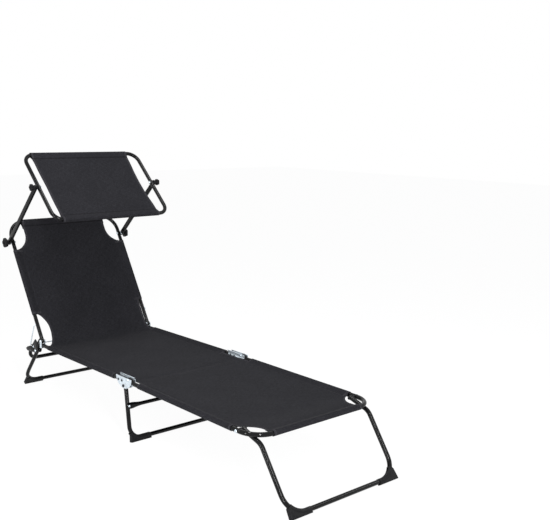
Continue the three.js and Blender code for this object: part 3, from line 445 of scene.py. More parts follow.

# %% [markdown]
# The cover is charcoal polyester. Threads along and across differ a little in tone,
# and each thread changes slowly along its length, which gives the flecked look of cloth close up.
# The cloth is sewn into a sleeve round each tube, with a row of stitches just inside the sleeve.
# Next to each seam the cloth is darkened as painted shade where it puckers.
# Cut edges carry a bound hem. All are found from the flat cut, so they follow the cloth.

# %% Charcoal woven cloth
THREADS_PER_METRE = 1150.0
FLECK_LENGTHS_PER_METRE = 60.0
SEAM_ACROSS = 0.2435
SEAM_ALONG = 0.0215
HEM_SEAM = 0.0075
BINDING_START = 0.0085
BINDING_END = 0.0095

cloth, tree, shader, places = new_finish(
    "Charcoal woven polyester",
    Roughness=0.92,
    Specular_IOR_Level=0.06,
    Sheen_Weight=0.03,
    Sheen_Roughness=0.45,
)
flat_cut = places["UV"]
flat_parts = axes_of(tree, flat_cut)
woven = place_group(tree, weave, Flat_cut=flat_cut, Threads_per_metre=THREADS_PER_METRE)


def threads(across, along):
    mapping = tree.nodes.new("ShaderNodeMapping")
    mapping.inputs["Scale"].default_value = (across, along, 1.0)
    tree.links.new(flat_cut, mapping.inputs["Vector"])
    return spread(tree, noise_value(tree, mapping.outputs["Vector"], 1.0, 2.0), 0.3, 0.7, 0.72, 1.28)


long_flecks = threads(THREADS_PER_METRE, FLECK_LENGTHS_PER_METRE)
cross_flecks = threads(FLECK_LENGTHS_PER_METRE, THREADS_PER_METRE)
fleck = calculate(tree, "MULTIPLY", long_flecks, cross_flecks)
faded = place_group(tree, mottling, Vector=flat_cut, Scale=7.0, Low=0.93, High=1.08)["Factor"]
tone = calculate(tree, "MULTIPLY", fleck, faded)
yarn = tint(tree, woven["Upper thread"], (0.0245, 0.0243, 0.0285), (0.0315, 0.0312, 0.0362))
cloth_colour = shade_by(tree, yarn, tone)
from_middle = calculate(tree, "ABSOLUTE", flat_parts["X"])
side_distance = calculate(tree, "SUBTRACT", from_middle, SEAM_ACROSS)
end_distance = calculate(tree, "SUBTRACT", flat_parts["Y"], SEAM_ALONG)
side_seam = place_group(tree, stitches, Distance=side_distance, Along=flat_parts["Y"])
end_seam = place_group(tree, stitches, Distance=end_distance, Along=flat_parts["X"])
edge = tree.nodes.new("ShaderNodeAttribute")
edge.attribute_name = "to_cut_edge"
hem_distance = calculate(tree, "SUBTRACT", edge.outputs["Fac"], HEM_SEAM)
hem_seam = place_group(tree, stitches, Distance=hem_distance, Along=flat_parts["Y"])
bound = spread(tree, edge.outputs["Fac"], BINDING_END, BINDING_START)
cloth_colour = tint(tree, calculate(tree, "MULTIPLY", bound, 0.5), cloth_colour, (0.060, 0.058, 0.066))
sewing = calculate(tree, "MAXIMUM", side_seam["Thread"], end_seam["Thread"])
sewing = calculate(tree, "MAXIMUM", sewing, hem_seam["Thread"])
cloth_colour = tint(tree, calculate(tree, "MULTIPLY", sewing, 0.8), cloth_colour, (0.085, 0.083, 0.092))
side_pucker_and_shade = calculate(tree, "MULTIPLY", side_seam["Pucker and painted shade"], 0.45)
pucker_and_painted_shade = calculate(tree, "MAXIMUM", side_pucker_and_shade, end_seam["Pucker and painted shade"])
# Painted shade: the cloth's colour is darkened towards each seam, as if shade fell in its pucker.
cloth_colour = shade_by(tree, cloth_colour, spread(tree, pucker_and_painted_shade, 0.0, 1.0, 1.0, 0.4))
tree.links.new(cloth_colour, shader["Base Color"])
relief = calculate(tree, "MULTIPLY_ADD", pucker_and_painted_shade, -4.0, woven["Height"])
relief = calculate(tree, "MULTIPLY_ADD", bound, 2.0, relief)
bump(tree, relief, 0.35, 0.00025, shader["Normal"])
print("cloth finish:", cloth.name)

# %% [markdown]
# Every piece but the cloth goes through one function. It turns the mesh's faces outwards, shades it
# smooth apart from its real edges, gives it its finish, says which body carries it, and
# hides the CAD node it stands for.


def show_piece(mesh, name, finish, sharp_from=40):
    data = bpy.data.meshes.new(name)
    mesh.to_mesh(data)
    mesh.free()
    for layer in [layer for layer in data.attributes if layer.name == "custom_normal"]:
        data.attributes.remove(layer)
    data.shade_smooth()
    data.set_sharp_from_angle(angle=math.radians(sharp_from))
    data.materials.clear()
    data.materials.append(finish)
    piece = bpy.data.objects.new(name, data)
    bpy.context.collection.objects.link(piece)
    return piece


def finish_piece(mesh, name, finish, body, *nodes, sharp_from=40):
    bmesh.ops.recalc_face_normals(mesh, faces=mesh.faces)
    piece = show_piece(mesh, name, finish, sharp_from)
    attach(piece, body)
    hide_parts(*nodes)
    print(name, "rides on", body, "with", len(piece.data.polygons), "faces")


def verts_in(geometry):
    return [part for part in geometry if isinstance(part, bmesh.types.BMVert)]


def edges_in(geometry):
    return [part for part in geometry if isinstance(part, bmesh.types.BMEdge)]


def faces_in(geometry):
    return [part for part in geometry if isinstance(part, bmesh.types.BMFace)]


def edges_at(verts):
    return list({edge for vert in verts for edge in vert.link_edges})


# %% [markdown]
# Sheet and moulded parts use the same few steps: a circle that stands across the lounger,
# an extrusion that gives an outline its thickness, a level cut, and rounded edges.

# %% Tools for sheet and moulded parts
ACROSS = Matrix.Rotation(math.pi / 2, 4, "Y")


def upright_circle(mesh, radius, segments, filled=True):
    made = bmesh.ops.create_circle(
        mesh, cap_ends=filled, radius=radius * MILLIMETRE, segments=segments, matrix=ACROSS,
    )
    return made["verts"]


def thicken(mesh, faces, step):
    grown = bmesh.ops.extrude_face_region(mesh, geom=faces)["geom"]
    bmesh.ops.translate(mesh, verts=verts_in(grown), vec=step)
    return grown


def cut_level(mesh, **part_to_clear):
    bmesh.ops.bisect_plane(
        mesh, geom=mesh.verts[:] + mesh.edges[:] + mesh.faces[:], dist=0.000001,
        plane_co=(0, 0, 0), plane_no=(0, 0, 1), **part_to_clear,
    )


def bevel_sharp(mesh, edges, size, from_degrees, segments):
    corners = [
        edge for edge in edges
        if len(edge.link_faces) == 2 and edge.calc_face_angle() > math.radians(from_degrees)
    ]
    bmesh.ops.bevel(
        mesh, geom=corners, offset=size * MILLIMETRE, offset_type="OFFSET", segments=segments,
        profile=0.5, affect="EDGES", clamp_overlap=True, material=-1,
    )


def round_edges(mesh, size, from_degrees=35, segments=2):
    bmesh.ops.recalc_face_normals(mesh, faces=mesh.faces)
    bevel_sharp(mesh, mesh.edges, size, from_degrees, segments)


# %% [markdown]
# A tube could be a curve with a round bevel, but its bends would thin out at tight corners.
# A bender works better: a ring is pushed along each straight stretch and spun round
# the centre of each bend, so a bend has its true radius and the tube keeps its width.

# %% The tube bender
TUBE_SIDES = 24
BEND_STEP = math.radians(7.5)


def push_ring(mesh, edges, step, shrink=1.0, centre=None):
    grown = bmesh.ops.extrude_edge_only(mesh, edges=edges)["geom"]
    ring = verts_in(grown)
    bmesh.ops.translate(mesh, verts=ring, vec=step)
    if shrink != 1.0:
        moved = Matrix.Translation(-(centre + step))
        bmesh.ops.scale(mesh, verts=ring, vec=(shrink, shrink, shrink), space=moved)
    return edges_in(grown)


def ring_of(edges):
    return list({vert for edge in edges for vert in edge.verts})


def dome_end(mesh, edges, centre, heading, depth):
    steps = 5
    for step in range(1, steps):
        before = math.pi / 2 * (step - 1) / steps
        now = math.pi / 2 * step / steps
        move = heading * depth * (math.sin(now) - math.sin(before))
        edges = push_ring(mesh, edges, move, math.cos(now) / math.cos(before), centre)
        centre = centre + move
    tip = centre + heading * depth * (1 - math.sin(math.pi / 2 * (steps - 1) / steps))
    edges = push_ring(mesh, edges, tip - centre)
    bmesh.ops.pointmerge(mesh, verts=ring_of(edges), merge_co=tip)


def bend_tube(mesh, corners, radius=TUBE_RADIUS, sides=TUBE_SIDES, end_depth=None):
    size = radius * MILLIMETRE
    depth = size if end_depth is None else end_depth * MILLIMETRE
    stops = [at(*place) for place, bend in corners]
    bends = [bend * MILLIMETRE for place, bend in corners]
    heading = (stops[1] - stops[0]).normalized()
    turned = heading.to_track_quat("Z", "Y").to_matrix().to_4x4()
    start = bmesh.ops.create_circle(
        mesh, cap_ends=False, radius=size, segments=sides, matrix=Matrix.Translation(stops[0]) @ turned,
    )["verts"]
    first_edges = edges_at(start)
    edges = first_edges
    here = stops[0]
    first_heading = heading
    for index in range(1, len(stops)):
        last = index == len(stops) - 1
        leaving = heading if last else (stops[index + 1] - stops[index]).normalized()
        turn = heading.angle(leaving)
        setback = bends[index] * math.tan(turn / 2)
        target = stops[index] - heading * setback
        edges = push_ring(mesh, edges, target - here)
        here = target
        if last or turn < 1e-6:
            continue
        inward = (leaving - heading * leaving.dot(heading)).normalized()
        spun = bmesh.ops.spin(
            mesh, geom=ring_of(edges) + edges, cent=here + inward * bends[index],
            axis=heading.cross(leaving).normalized(), angle=turn,
            steps=max(2, math.ceil(turn / BEND_STEP)), use_duplicate=False,
        )["geom_last"]
        edges = edges_in(spun)
        here = stops[index] + leaving * setback
        heading = leaving
    dome_end(mesh, first_edges, stops[0], -first_heading, depth)
    dome_end(mesh, edges, here, heading, depth)


def u_shape(half):
    other_half = [((-place[0], place[1], place[2]), bend) for place, bend in reversed(half)]
    return half + other_half


def bent_tube(name, body, half, node=None, finish=tube_coat, **sizes):
    mesh = bmesh.new()
    bend_tube(mesh, u_shape(half), **sizes)
    finish_piece(mesh, name, finish, body, node or name.replace("_tube", ""))


# %% [markdown]
# The lounger has one bent tube for each section. Each is drawn on its left side, from the hinge
# to the cross bar, and the U is closed by its mirror image. The seat's tube runs on past the
# rear hinge, slopes down and ends in a low bar behind the rear legs. The canopy's tube is
# drawn from the middle of its top bar, where its two ends meet. Each corner in a list is a
# place and the radius of the bend there.

# %% Bend the frame tubes
CANOPY_HALF_WIDTH = 274
CANOPY_CORNER = 45
JOIN_HALF_GAP = 0.3

bent_tube("seat_frame_tube", "seat_section", [
    ((FRAME_HALF_WIDTH, *SEAT_FRONT_END), 0),
    ((FRAME_HALF_WIDTH, *SEAT_REAR_BEND), 60),
    ((FRAME_HALF_WIDTH, *LOW_BAR_BEND), 35),
    ((FRAME_HALF_WIDTH, *LOW_BAR), 38),
], end_depth=1.0)
bent_tube("foot_frame_tube", "foot_section", [
    ((FRAME_HALF_WIDTH, *FOOT_HINGE_END), 0),
    ((FRAME_HALF_WIDTH, *FOOT_CRANK), 30),
    ((FRAME_HALF_WIDTH, *FOOT_BAR), 75),
])
bent_tube("back_frame_tube", "backrest", [
    ((FRAME_HALF_WIDTH, *BACK_PIN), 0),
    ((FRAME_HALF_WIDTH, *BACK_BAR), 71),
])
bent_tube("canopy_frame_tube", "canopy", [
    ((JOIN_HALF_GAP, *CANOPY_TOP), 0),
    ((CANOPY_HALF_WIDTH, *CANOPY_TOP), CANOPY_CORNER),
    ((CANOPY_HALF_WIDTH, *CANOPY_BOTTOM), CANOPY_CORNER),
], end_depth=0.2)

# %% [markdown]
# The three legs are U tubes too. The front leg is narrower, so that it folds inside the foot
# section. The middle one stands a little wider at the floor than at its pivot.
# The bail is a thin wire bent the same way, whose ends hook into the backrest's tubes.

# %% Bend the legs and the bail wire
LEGS = {
    "front": {
        "half_width": 246, "pin": (-612, 225.13), "knee": (-692, 200.6), "knee_bend": 45,
        "floor_half_width": 246, "bar": (-823.5, 13), "corner": 68,
    },
    "mid": {
        "half_width": 270, "pin": (7.4, 207.5), "knee": (3.2, 188), "knee_bend": 120,
        "floor_half_width": 279, "bar": (-34.5, 13), "corner": 45,
    },
    "rear": {
        "half_width": 270, "pin": (683.5, 187.3), "knee": (778, 74), "knee_bend": 60,
        "floor_half_width": 270, "bar": (818, 13), "corner": 60,
    },
}
for name, leg in LEGS.items():
    bent_tube(f"{name}_leg_tube", f"{name}_leg_set", [
        ((leg["half_width"], *leg["pin"]), 0),
        ((leg["half_width"], *leg["knee"]), leg["knee_bend"]),
        ((leg["floor_half_width"], *leg["bar"]), leg["corner"]),
    ])

BAIL_END = 268.4
BAIL_HALF_WIDTH = 284.85
BAIL_BEND = 7
bent_tube("bail_wire_bent", "bail_wire", [
    ((BAIL_END, *BAIL_HOOK), 0),
    ((BAIL_HALF_WIDTH, *BAIL_HOOK), BAIL_BEND),
    ((BAIL_HALF_WIDTH, *BAIL_BAR), BAIL_BEND),
], node="bail", finish=zinc, radius=2.25, sides=14, end_depth=0.6)

# %% [markdown]
# The stretcher between the middle legs starts as a round tube. Its ends are pressed flat and
# flared, and riveted to the front of the legs. The ring is pushed outwards in steps
# and squeezed at each one. It is made lying flat and then leant against the leg.

# %% Press the stretcher
STRETCHER_HEIGHT = 134
STRETCHER_RADIUS = 7.0
STRETCHER_FRONT = 10.4
pin = Vector(LEGS["mid"]["pin"])
bar = Vector(LEGS["mid"]["bar"])
stretcher_place = bar + (pin - bar) * (STRETCHER_HEIGHT - bar.y) / (pin.y - bar.y)
leg_angle = math.atan2(pin.y - bar.y, pin.x - bar.x)
# In the leg's own frame Z runs up it, and its front is towards minus Y
lean = Matrix.Translation(at(0, *stretcher_place)) @ Matrix.Rotation(leg_angle - math.pi / 2, 4, "X")
# Each stage says how far out the ring is, half its height and half its depth
stages = [
    (216, 7.0, 7.0),
    (224, 7.2, 6.2),
    (236, 8.4, 4.2),
    (248, 10.2, 2.8),
    (257, 11.6, 2.2),
    (277.5, 12.0, 2.0),
]
mesh = bmesh.new()
ring_edges = edges_at(upright_circle(mesh, STRETCHER_RADIUS, segments=24, filled=False))
for side, sign in SIDES:
    edges = ring_edges
    reach, high, deep = 0, STRETCHER_RADIUS, STRETCHER_RADIUS
    for next_reach, next_high, next_deep in stages:
        edges = push_ring(mesh, edges, Vector((sign * (next_reach - reach) * MILLIMETRE, 0, 0)))
        bmesh.ops.scale(mesh, verts=ring_of(edges), vec=(1, next_deep / deep, next_high / high))
        reach, high, deep = next_reach, next_high, next_deep
    bmesh.ops.contextual_create(mesh, geom=edges)
bmesh.ops.translate(mesh, verts=mesh.verts, vec=(0, -STRETCHER_FRONT * MILLIMETRE, 0))
bmesh.ops.transform(mesh, matrix=lean, verts=mesh.verts)
finish_piece(mesh, "pressed_stretcher", tube_coat, "mid_leg_set", "mid_leg_stretcher", sharp_from=50)

# %% [markdown]
# Rivets and hinge pins are turned parts. A profile is spun once round its own axis. The CAD node
# tells where each one starts and ends, so a head always lies on its plate.
# A rivet has two low domes. A pin has a thicker head, and the arm's lower bolt has a collar.

# %% Turn the rivets and pins
LATHE_STEPS = 24
COLLAR_CHAMFER = 0.5
END_CHAMFER = 0.4


def turn_on_lathe(mesh, profile, centre):
    points = [mesh.verts.new(centre + Vector((reach, 0, radius)) * MILLIMETRE) for reach, radius in profile]
    edges = [mesh.edges.new(pair) for pair in zip(points, points[1:])]
    bmesh.ops.spin(
        mesh, geom=points + edges, cent=centre, axis=(1, 0, 0), angle=2 * math.pi,
        steps=LATHE_STEPS, use_merge=True, use_duplicate=False,
    )
    bmesh.ops.remove_doubles(mesh, verts=mesh.verts, dist=MERGE_DISTANCE)


def domed_head(face, tip, radius):
    rise = tip - face
    return [
        (face, radius),
        (face + 0.25 * rise, radius),
        (face + 0.6 * rise, 0.86 * radius),
        (face + 0.87 * rise, 0.55 * radius),
        (tip, 0),
    ]


def collar_profile(start, stop, radius, shank):
    return [
        (start, shank),
        (start, radius - COLLAR_CHAMFER),
        (start + COLLAR_CHAMFER, radius),
        (stop - COLLAR_CHAMFER, radius),
        (stop, radius - COLLAR_CHAMFER),
        (stop, shank),
    ]


def turned_profile(inner, outer, head, thickness, shank, collar=None, plain_end=False):
    profile = list(reversed(domed_head(inner + thickness, inner, head))) + [(inner + thickness, shank)]
    if collar:
        profile += collar_profile(*collar, shank)
    if plain_end:
        return profile + [(outer - END_CHAMFER, shank), (outer, shank - END_CHAMFER), (outer, 0)]
    return profile + [(outer - thickness, shank)] + domed_head(outer - thickness, outer, head)


BODY_OF = {name: body for body, names in frame["record"]["behaviour"]["bodies"].items() for name in names}


def reach_and_centre(node):
    low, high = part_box(node)
    near, far = sorted((abs(low.x) / MILLIMETRE, abs(high.x) / MILLIMETRE))
    centre = (low + high) / 2
    centre.x = 0
    return near, far, centre


def turn_piece(node, part, finish, profile, sign, centre):
    mesh = bmesh.new()
    turn_on_lathe(mesh, [(sign * reach, radius) for reach, radius in profile], centre)
    finish_piece(mesh, f"{node}_{part}", finish, BODY_OF[node], node)


def turned_pair(node, finish=zinc, **sizes):
    for side, sign in SIDES:
        near, far, centre = reach_and_centre(f"{node}_{side}")
        profile = turned_profile(near, far, **sizes)
        turn_piece(f"{node}_{side}", "turned", finish, profile, sign, centre)


RIVET = {"head": 4.5, "thickness": 1.4, "shank": 2.5}
PIN = {"head": 6.0, "thickness": 3.0, "shank": 3.0}
# The middle hinge's rivets and its leg's pivot take the steel darkened as painted shade.
for rivet in ("seat_rivet_front", "seat_rivet_back"):
    turned_pair(rivet, shade_darkened_steel, **RIVET)
for rivet in ("clevis_rivet", "ratchet_rivet"):
    turned_pair(rivet, **RIVET)
turned_pair("mid_leg_pivot", shade_darkened_steel, **PIN)
for pin in ("foot_hinge_bolt", "back_hinge_bolt", "rear_leg_pivot"):
    turned_pair(pin, **PIN)
turned_pair("lower_arm_bolt", **PIN, collar=(CHEEK_OUTER, 282.4, 7.0), plain_end=True)
turned_pair("upper_arm_bolt", **PIN, plain_end=True)

# %% [markdown]
# The pin of the front leg has a bright head outside. A black moulded spacer keeps the leg off the
# frame, and a cap of the same plastic covers the pin's inner end.

# %% Turn the pins of the front leg
SPACER_START = 254.4
SPACER_END = 261.6
SPACER_RADIUS = 7.0
BRIGHT_START = 262.0
head, thickness, shank = PIN.values()
for side, sign in SIDES:
    node = f"front_leg_pivot_{side}"
    inner, outer, centre = reach_and_centre(node)
    bright_end = [(BRIGHT_START, 0), (BRIGHT_START, shank), (outer - thickness, shank)]
    bright_end += domed_head(outer - thickness, outer, head)
    black_end = list(reversed(domed_head(inner + thickness, inner, head))) + [(inner + thickness, shank)]
    black_end += collar_profile(SPACER_START, SPACER_END, SPACER_RADIUS, shank)[:-1] + [(SPACER_END, 0)]
    turn_piece(node, "head", zinc, bright_end, sign, centre)
    turn_piece(node, "spacer", plastic, black_end, sign, centre)

# %% [markdown]
# The stretcher's rivets point along the leg's depth, so they are turned at the origin
# and leant with the leg, as the stretcher was.

# %% The stretcher's rivets
RIVET_OUT = 272.8
RIVET_BACK = -9.8
RIVET_FRONT = 14.2
along_depth = Matrix.Rotation(-math.pi / 2, 4, "Z")
for side, sign in SIDES:
    mesh = bmesh.new()
    turn_on_lathe(mesh, turned_profile(RIVET_BACK, RIVET_FRONT, **RIVET), Vector((0, 0, 0)))
    bmesh.ops.transform(mesh, matrix=along_depth, verts=mesh.verts)
    bmesh.ops.translate(mesh, verts=mesh.verts, vec=(sign * RIVET_OUT * MILLIMETRE, 0, 0))
    bmesh.ops.transform(mesh, matrix=lean, verts=mesh.verts)
    finish_piece(mesh, f"stretcher_rivet_{side}_turned", zinc, "mid_leg_set", f"stretcher_rivet_{side}")

# %% [markdown]
# The middle hinge has a cheek on each side of the tubes, pressed from sheet in the shape of half
# an ellipse. A circle is stretched, cut in half and given its thickness, and its
# rim is rounded as a press leaves it. The inner cheek has a lip turned inwards along its top.

# %% Press the hinge cheeks
CHEEK_THICKNESS = 1.6
CHEEK_HALF_LENGTH = 50
CHEEK_DEPTH = 42
CHEEK_PLACE = (5, 241)
CHEEK_ROUNDING = 0.45
LIP_OUT = 259.3
LIP_PLACE = (11, 243.2)
LIP_WIDTH = 4.4
LIP_LENGTH = 90


def press_cheek(from_x, sign):
    mesh = bmesh.new()
    circle = upright_circle(mesh, 1, segments=72)
    bmesh.ops.scale(mesh, verts=circle, vec=(1, CHEEK_HALF_LENGTH, CHEEK_DEPTH))
    cut_level(mesh, clear_outer=True)
    bmesh.ops.translate(mesh, verts=mesh.verts, vec=at(sign * from_x, *CHEEK_PLACE))
    thicken(mesh, mesh.faces[:], (sign * CHEEK_THICKNESS * MILLIMETRE, 0, 0))
    return mesh


for side, sign in SIDES:
    mesh = press_cheek(CHEEK_OUTER, sign)
    round_edges(mesh, CHEEK_ROUNDING)
    finish_piece(mesh, f"hinge_cheek_outer_{side}", zinc, "seat_section", f"hinge_plate_outer_{side}")
    mesh = press_cheek(CHEEK_INNER - CHEEK_THICKNESS, sign)
    lip = bmesh.ops.create_cube(mesh, size=MILLIMETRE)["verts"]
    bmesh.ops.scale(mesh, verts=lip, vec=(LIP_WIDTH, LIP_LENGTH, CHEEK_THICKNESS))
    bmesh.ops.translate(mesh, verts=lip, vec=at(sign * LIP_OUT, *LIP_PLACE))
    round_edges(mesh, CHEEK_ROUNDING)
    finish_piece(mesh, f"hinge_cheek_inner_{side}", zinc, "seat_section", f"hinge_plate_inner_{side}")

# %% [markdown]
# The rear hinge's saddle and the toothed plates already have their exact outline in the CAD model.
# A copy of such a mesh is merged, its flat faces are dissolved, and its edges are rounded.
# The CAD mesh itself is left alone.

# %% Round the edges of copied plates
def rounded_copy(node, size):
    mesh = bmesh.new()
    mesh.from_mesh(frame["nodes"][node].data)
    bmesh.ops.remove_doubles(mesh, verts=mesh.verts, dist=MERGE_DISTANCE)
    bmesh.ops.dissolve_limit(mesh, angle_limit=math.radians(1), verts=mesh.verts, edges=mesh.edges)
    round_edges(mesh, size)
    return mesh


for side in ("left", "right"):
    for node, finish, size in (
        ("rear_hinge_clevis", zinc, 0.4),
        ("ratchet_plate_outer", plate_paint, 0.6),
        ("ratchet_plate_inner", plate_paint, 0.6),
    ):
        mesh = rounded_copy(f"{node}_{side}", size)
        finish_piece(mesh, f"{node}_{side}_rounded", finish, "seat_section", f"{node}_{side}")

# %% [markdown]
# The canopy's arms are flat bars with round ends. A circle has one half moved to the far pivot,
# which makes the outline, and the edges get the soft rounding of a thick paint coat.

# %% Make the canopy arms
ARM_ANGLE = math.atan2(CANOPY_PIVOT[1] - CANOPY_BOLT[1], CANOPY_PIVOT[0] - CANOPY_BOLT[0])
ARM_LENGTH = math.dist(CANOPY_BOLT, CANOPY_PIVOT)
ARM_HALF_HEIGHT = 10
ARM_THICKNESS = 9
ARM_ROUNDING = 1.6
ARM_INNER = 282.8

for side, sign in SIDES:
    mesh = bmesh.new()
    circle = upright_circle(mesh, ARM_HALF_HEIGHT, segments=40)
    far_half = [vert for vert in circle if vert.co.y > MERGE_DISTANCE]
    bmesh.ops.translate(mesh, verts=far_half, vec=(0, ARM_LENGTH * MILLIMETRE, 0))
    thicken(mesh, mesh.faces[:], (sign * ARM_THICKNESS * MILLIMETRE, 0, 0))
    round_edges(mesh, ARM_ROUNDING, segments=3)
    bmesh.ops.rotate(mesh, verts=mesh.verts, cent=(0, 0, 0), matrix=Matrix.Rotation(ARM_ANGLE, 3, "X"))
    bmesh.ops.translate(mesh, verts=mesh.verts, vec=at(sign * ARM_INNER, *CANOPY_BOLT))
    finish_piece(mesh, f"canopy_arm_{side}_bar", plate_paint, "canopy_arms", f"canopy_arm_{side}")

# %% [markdown]
# Star knobs clamp the arms. A round plate gets five soft lobes by pulling its rim in between them,
# then thickness, a rounded rim and a sunk cap. A short hub meets the arm.

# %% Mould the star knobs
KNOB_INNER = 299.2
KNOB_THICKNESS = 12
KNOB_ROUNDING = 2.6
LOBES = 5
LOBE_DEPTH = 0.16
CAP_INSET = 0.42
CAP_EDGE = 0.8
CAP_DEPTH = 0.9
HUB_RADIUS = 8
HUB_LENGTH = 8
HUB_MIDDLE = -3


def mould_knob(radius, pin, sign):
    mesh = bmesh.new()
    for vert in upright_circle(mesh, radius, segments=80):
        angle = math.atan2(vert.co.z, vert.co.y)
        vert.co *= 1 - LOBE_DEPTH * (1 - math.cos(LOBES * angle)) / 2
    thicken(mesh, mesh.faces[:], (sign * KNOB_THICKNESS * MILLIMETRE, 0, 0))
    round_edges(mesh, KNOB_ROUNDING, segments=4)
    outer_face = max(mesh.faces, key=lambda face: sign * face.calc_center_median().x + face.calc_area())
    for inset, sunk in ((radius * CAP_INSET, 0), (CAP_EDGE, CAP_DEPTH)):
        bmesh.ops.inset_individual(
            mesh, faces=[outer_face], thickness=inset * MILLIMETRE, depth=-sunk * MILLIMETRE,
        )
    bmesh.ops.create_cone(
        mesh, cap_ends=True, segments=32, depth=HUB_LENGTH * MILLIMETRE,
        radius1=HUB_RADIUS * MILLIMETRE, radius2=HUB_RADIUS * MILLIMETRE,
        matrix=Matrix.Translation((sign * HUB_MIDDLE * MILLIMETRE, 0, 0)) @ ACROSS,
    )
    bmesh.ops.translate(mesh, verts=mesh.verts, vec=at(sign * KNOB_INNER, *pin))
    return mesh


for side, sign in SIDES:
    for which, radius, pin in (("lower", 21, CANOPY_BOLT), ("upper", 14, CANOPY_PIVOT)):
        mesh = mould_knob(radius, pin, sign)
        body = BODY_OF[f"{which}_knob_{side}"]
        finish_piece(mesh, f"{which}_knob_{side}_star", plastic, body, f"{which}_knob_{side}")

# %% [markdown]
# Each foot pad is a slit plastic sleeve, clipped over the corner of a leg, with a wedge under it
# that stands flat on the floor. The sleeve's wall is spun round the tube as a C, then pushed
# along the bar and spun round the corner, like the tube inside it. The wedge is a slab in
# the leg's plane. Both are made in that plane and then set on the leg and cut level.

# %% Mould the foot pads
PAD_REACH = 88
PAD_WALL = 2.0
PAD_CLEARANCE = 0.25
PAD_DROP = 12.5
PAD_HEIGHT = 24
PAD_LEAN = 4
PAD_ROUNDING = 0.5
WEDGE_ROUNDING = 1.2
WEDGE_STEPS = 8
SLIT_HALF_ANGLE = math.radians(23)


def sleeve_round_corner(corner_radius):
    mesh = bmesh.new()
    start = Vector((-PAD_REACH, 0, 0)) * MILLIMETRE
    spoke = Vector((0, math.cos(SLIT_HALF_ANGLE), math.sin(SLIT_HALF_ANGLE))) * MILLIMETRE
    inside = mesh.verts.new(start + spoke * (TUBE_RADIUS + PAD_CLEARANCE))
    outside = mesh.verts.new(start + spoke * (TUBE_RADIUS + PAD_WALL))
    wall = mesh.edges.new((inside, outside))
    bmesh.ops.spin(
        mesh, geom=[inside, outside, wall], cent=start, axis=(1, 0, 0),
        angle=2 * math.pi - 2 * SLIT_HALF_ANGLE, steps=22, use_duplicate=False,
    )
    straight = Vector((PAD_REACH - corner_radius, 0, 0)) * MILLIMETRE
    grown = thicken(mesh, mesh.faces[:], straight)
    end = math.atan2(PAD_HEIGHT - corner_radius, corner_radius - PAD_LEAN)
    turn = end + math.pi / 2
    caps = faces_in(grown)
    borders = list({edge for face in caps for edge in face.edges})
    points = list({vert for face in caps for vert in face.verts})
    bmesh.ops.spin(
        mesh, geom=points + borders + caps, axis=(0, 0, 1), angle=turn, steps=10, use_duplicate=False,
        cent=(-corner_radius * MILLIMETRE, corner_radius * MILLIMETRE, 0),
    )
    round_edges(mesh, PAD_ROUNDING, from_degrees=50)
    return mesh, end


def wedge_under_corner(mesh, corner_radius, end):
    arc = [
        (corner_radius * (math.cos(angle) - 1), corner_radius * (math.sin(angle) + 1))
        for angle in (end + (-math.pi / 2 - end) * step / WEDGE_STEPS for step in range(WEDGE_STEPS + 1))
    ]
    outline = [(-PAD_REACH, 0), (-PAD_REACH, -PAD_DROP), (0, -PAD_DROP), (-PAD_LEAN, PAD_HEIGHT), *arc]
    points = [mesh.verts.new(Vector((across, up, -TUBE_RADIUS)) * MILLIMETRE) for across, up in outline]
    grown = thicken(mesh, [mesh.faces.new(points)], (0, 0, 2 * TUBE_RADIUS * MILLIMETRE))
    bevel_sharp(mesh, edges_at(verts_in(grown) + points), WEDGE_ROUNDING, from_degrees=30, segments=3)


def foot_pad(leg, sign):
    mesh, end = sleeve_round_corner(leg["corner"])
    wedge_under_corner(mesh, leg["corner"], end)
    bar = leg["bar"]
    knee = leg["knee"]
    steepness = math.atan2(knee[1] - bar[1], knee[0] - bar[0])
    bmesh.ops.rotate(mesh, verts=mesh.verts, cent=(0, 0, 0), matrix=Matrix.Rotation(steepness, 3, "X"))
    bmesh.ops.translate(mesh, verts=mesh.verts, vec=at(leg["floor_half_width"], *bar))
    cut_level(mesh, clear_inner=True)
    bmesh.ops.holes_fill(mesh, edges=[edge for edge in mesh.edges if len(edge.link_faces) == 1])
    if sign < 0:
        bmesh.ops.scale(mesh, verts=mesh.verts, vec=(-1, 1, 1))
    return mesh


for name, leg in LEGS.items():
    for side, sign in SIDES:
        mesh = foot_pad(leg, sign)
        node = f"{name}_foot_pad_{side}"
        finish_piece(mesh, f"{node}_moulded", plastic, f"{name}_leg_set", node)

# %% [markdown]
# Now the cloth. It is drawn flat first: how far it reaches to each side at each place
# along its length. Then each point of the flat cut is carried to its place: the middle lies
# between the tubes with a little sag, and the margins go over the tube, round it and back under.
# First, a smooth curve through measured widths that never overshoots, for the cut-outs.

# %% A smooth curve through measured widths
def smooth_curve(marks):
    places = [mark[0] for mark in marks]
    values = [mark[1] for mark in marks]
    steps = [after - before for before, after in zip(places, places[1:])]
    slopes = [(after - before) / step for before, after, step in zip(values, values[1:], steps)]
    tangents = [slopes[0]] + [
        0.0 if before * after <= 0 else 2 * before * after / (before + after)
        for before, after in zip(slopes, slopes[1:])
    ] + [slopes[-1]]

    def value_at(place):
        index = min(max(bisect_right(places, place) - 1, 0), len(steps) - 1)
        share = min(max((place - places[index]) / steps[index], 0), 1)
        rest = 1 - share
        return (
            values[index] * (1 + 2 * share) * rest ** 2
            + tangents[index] * steps[index] * share * rest ** 2
            + values[index + 1] * (3 - 2 * share) * share ** 2
            - tangents[index + 1] * steps[index] * share ** 2 * rest
        )

    return value_at


print("half way:", round(smooth_curve([(0, 0), (1, 1), (2, 4)])(1.5), 3))

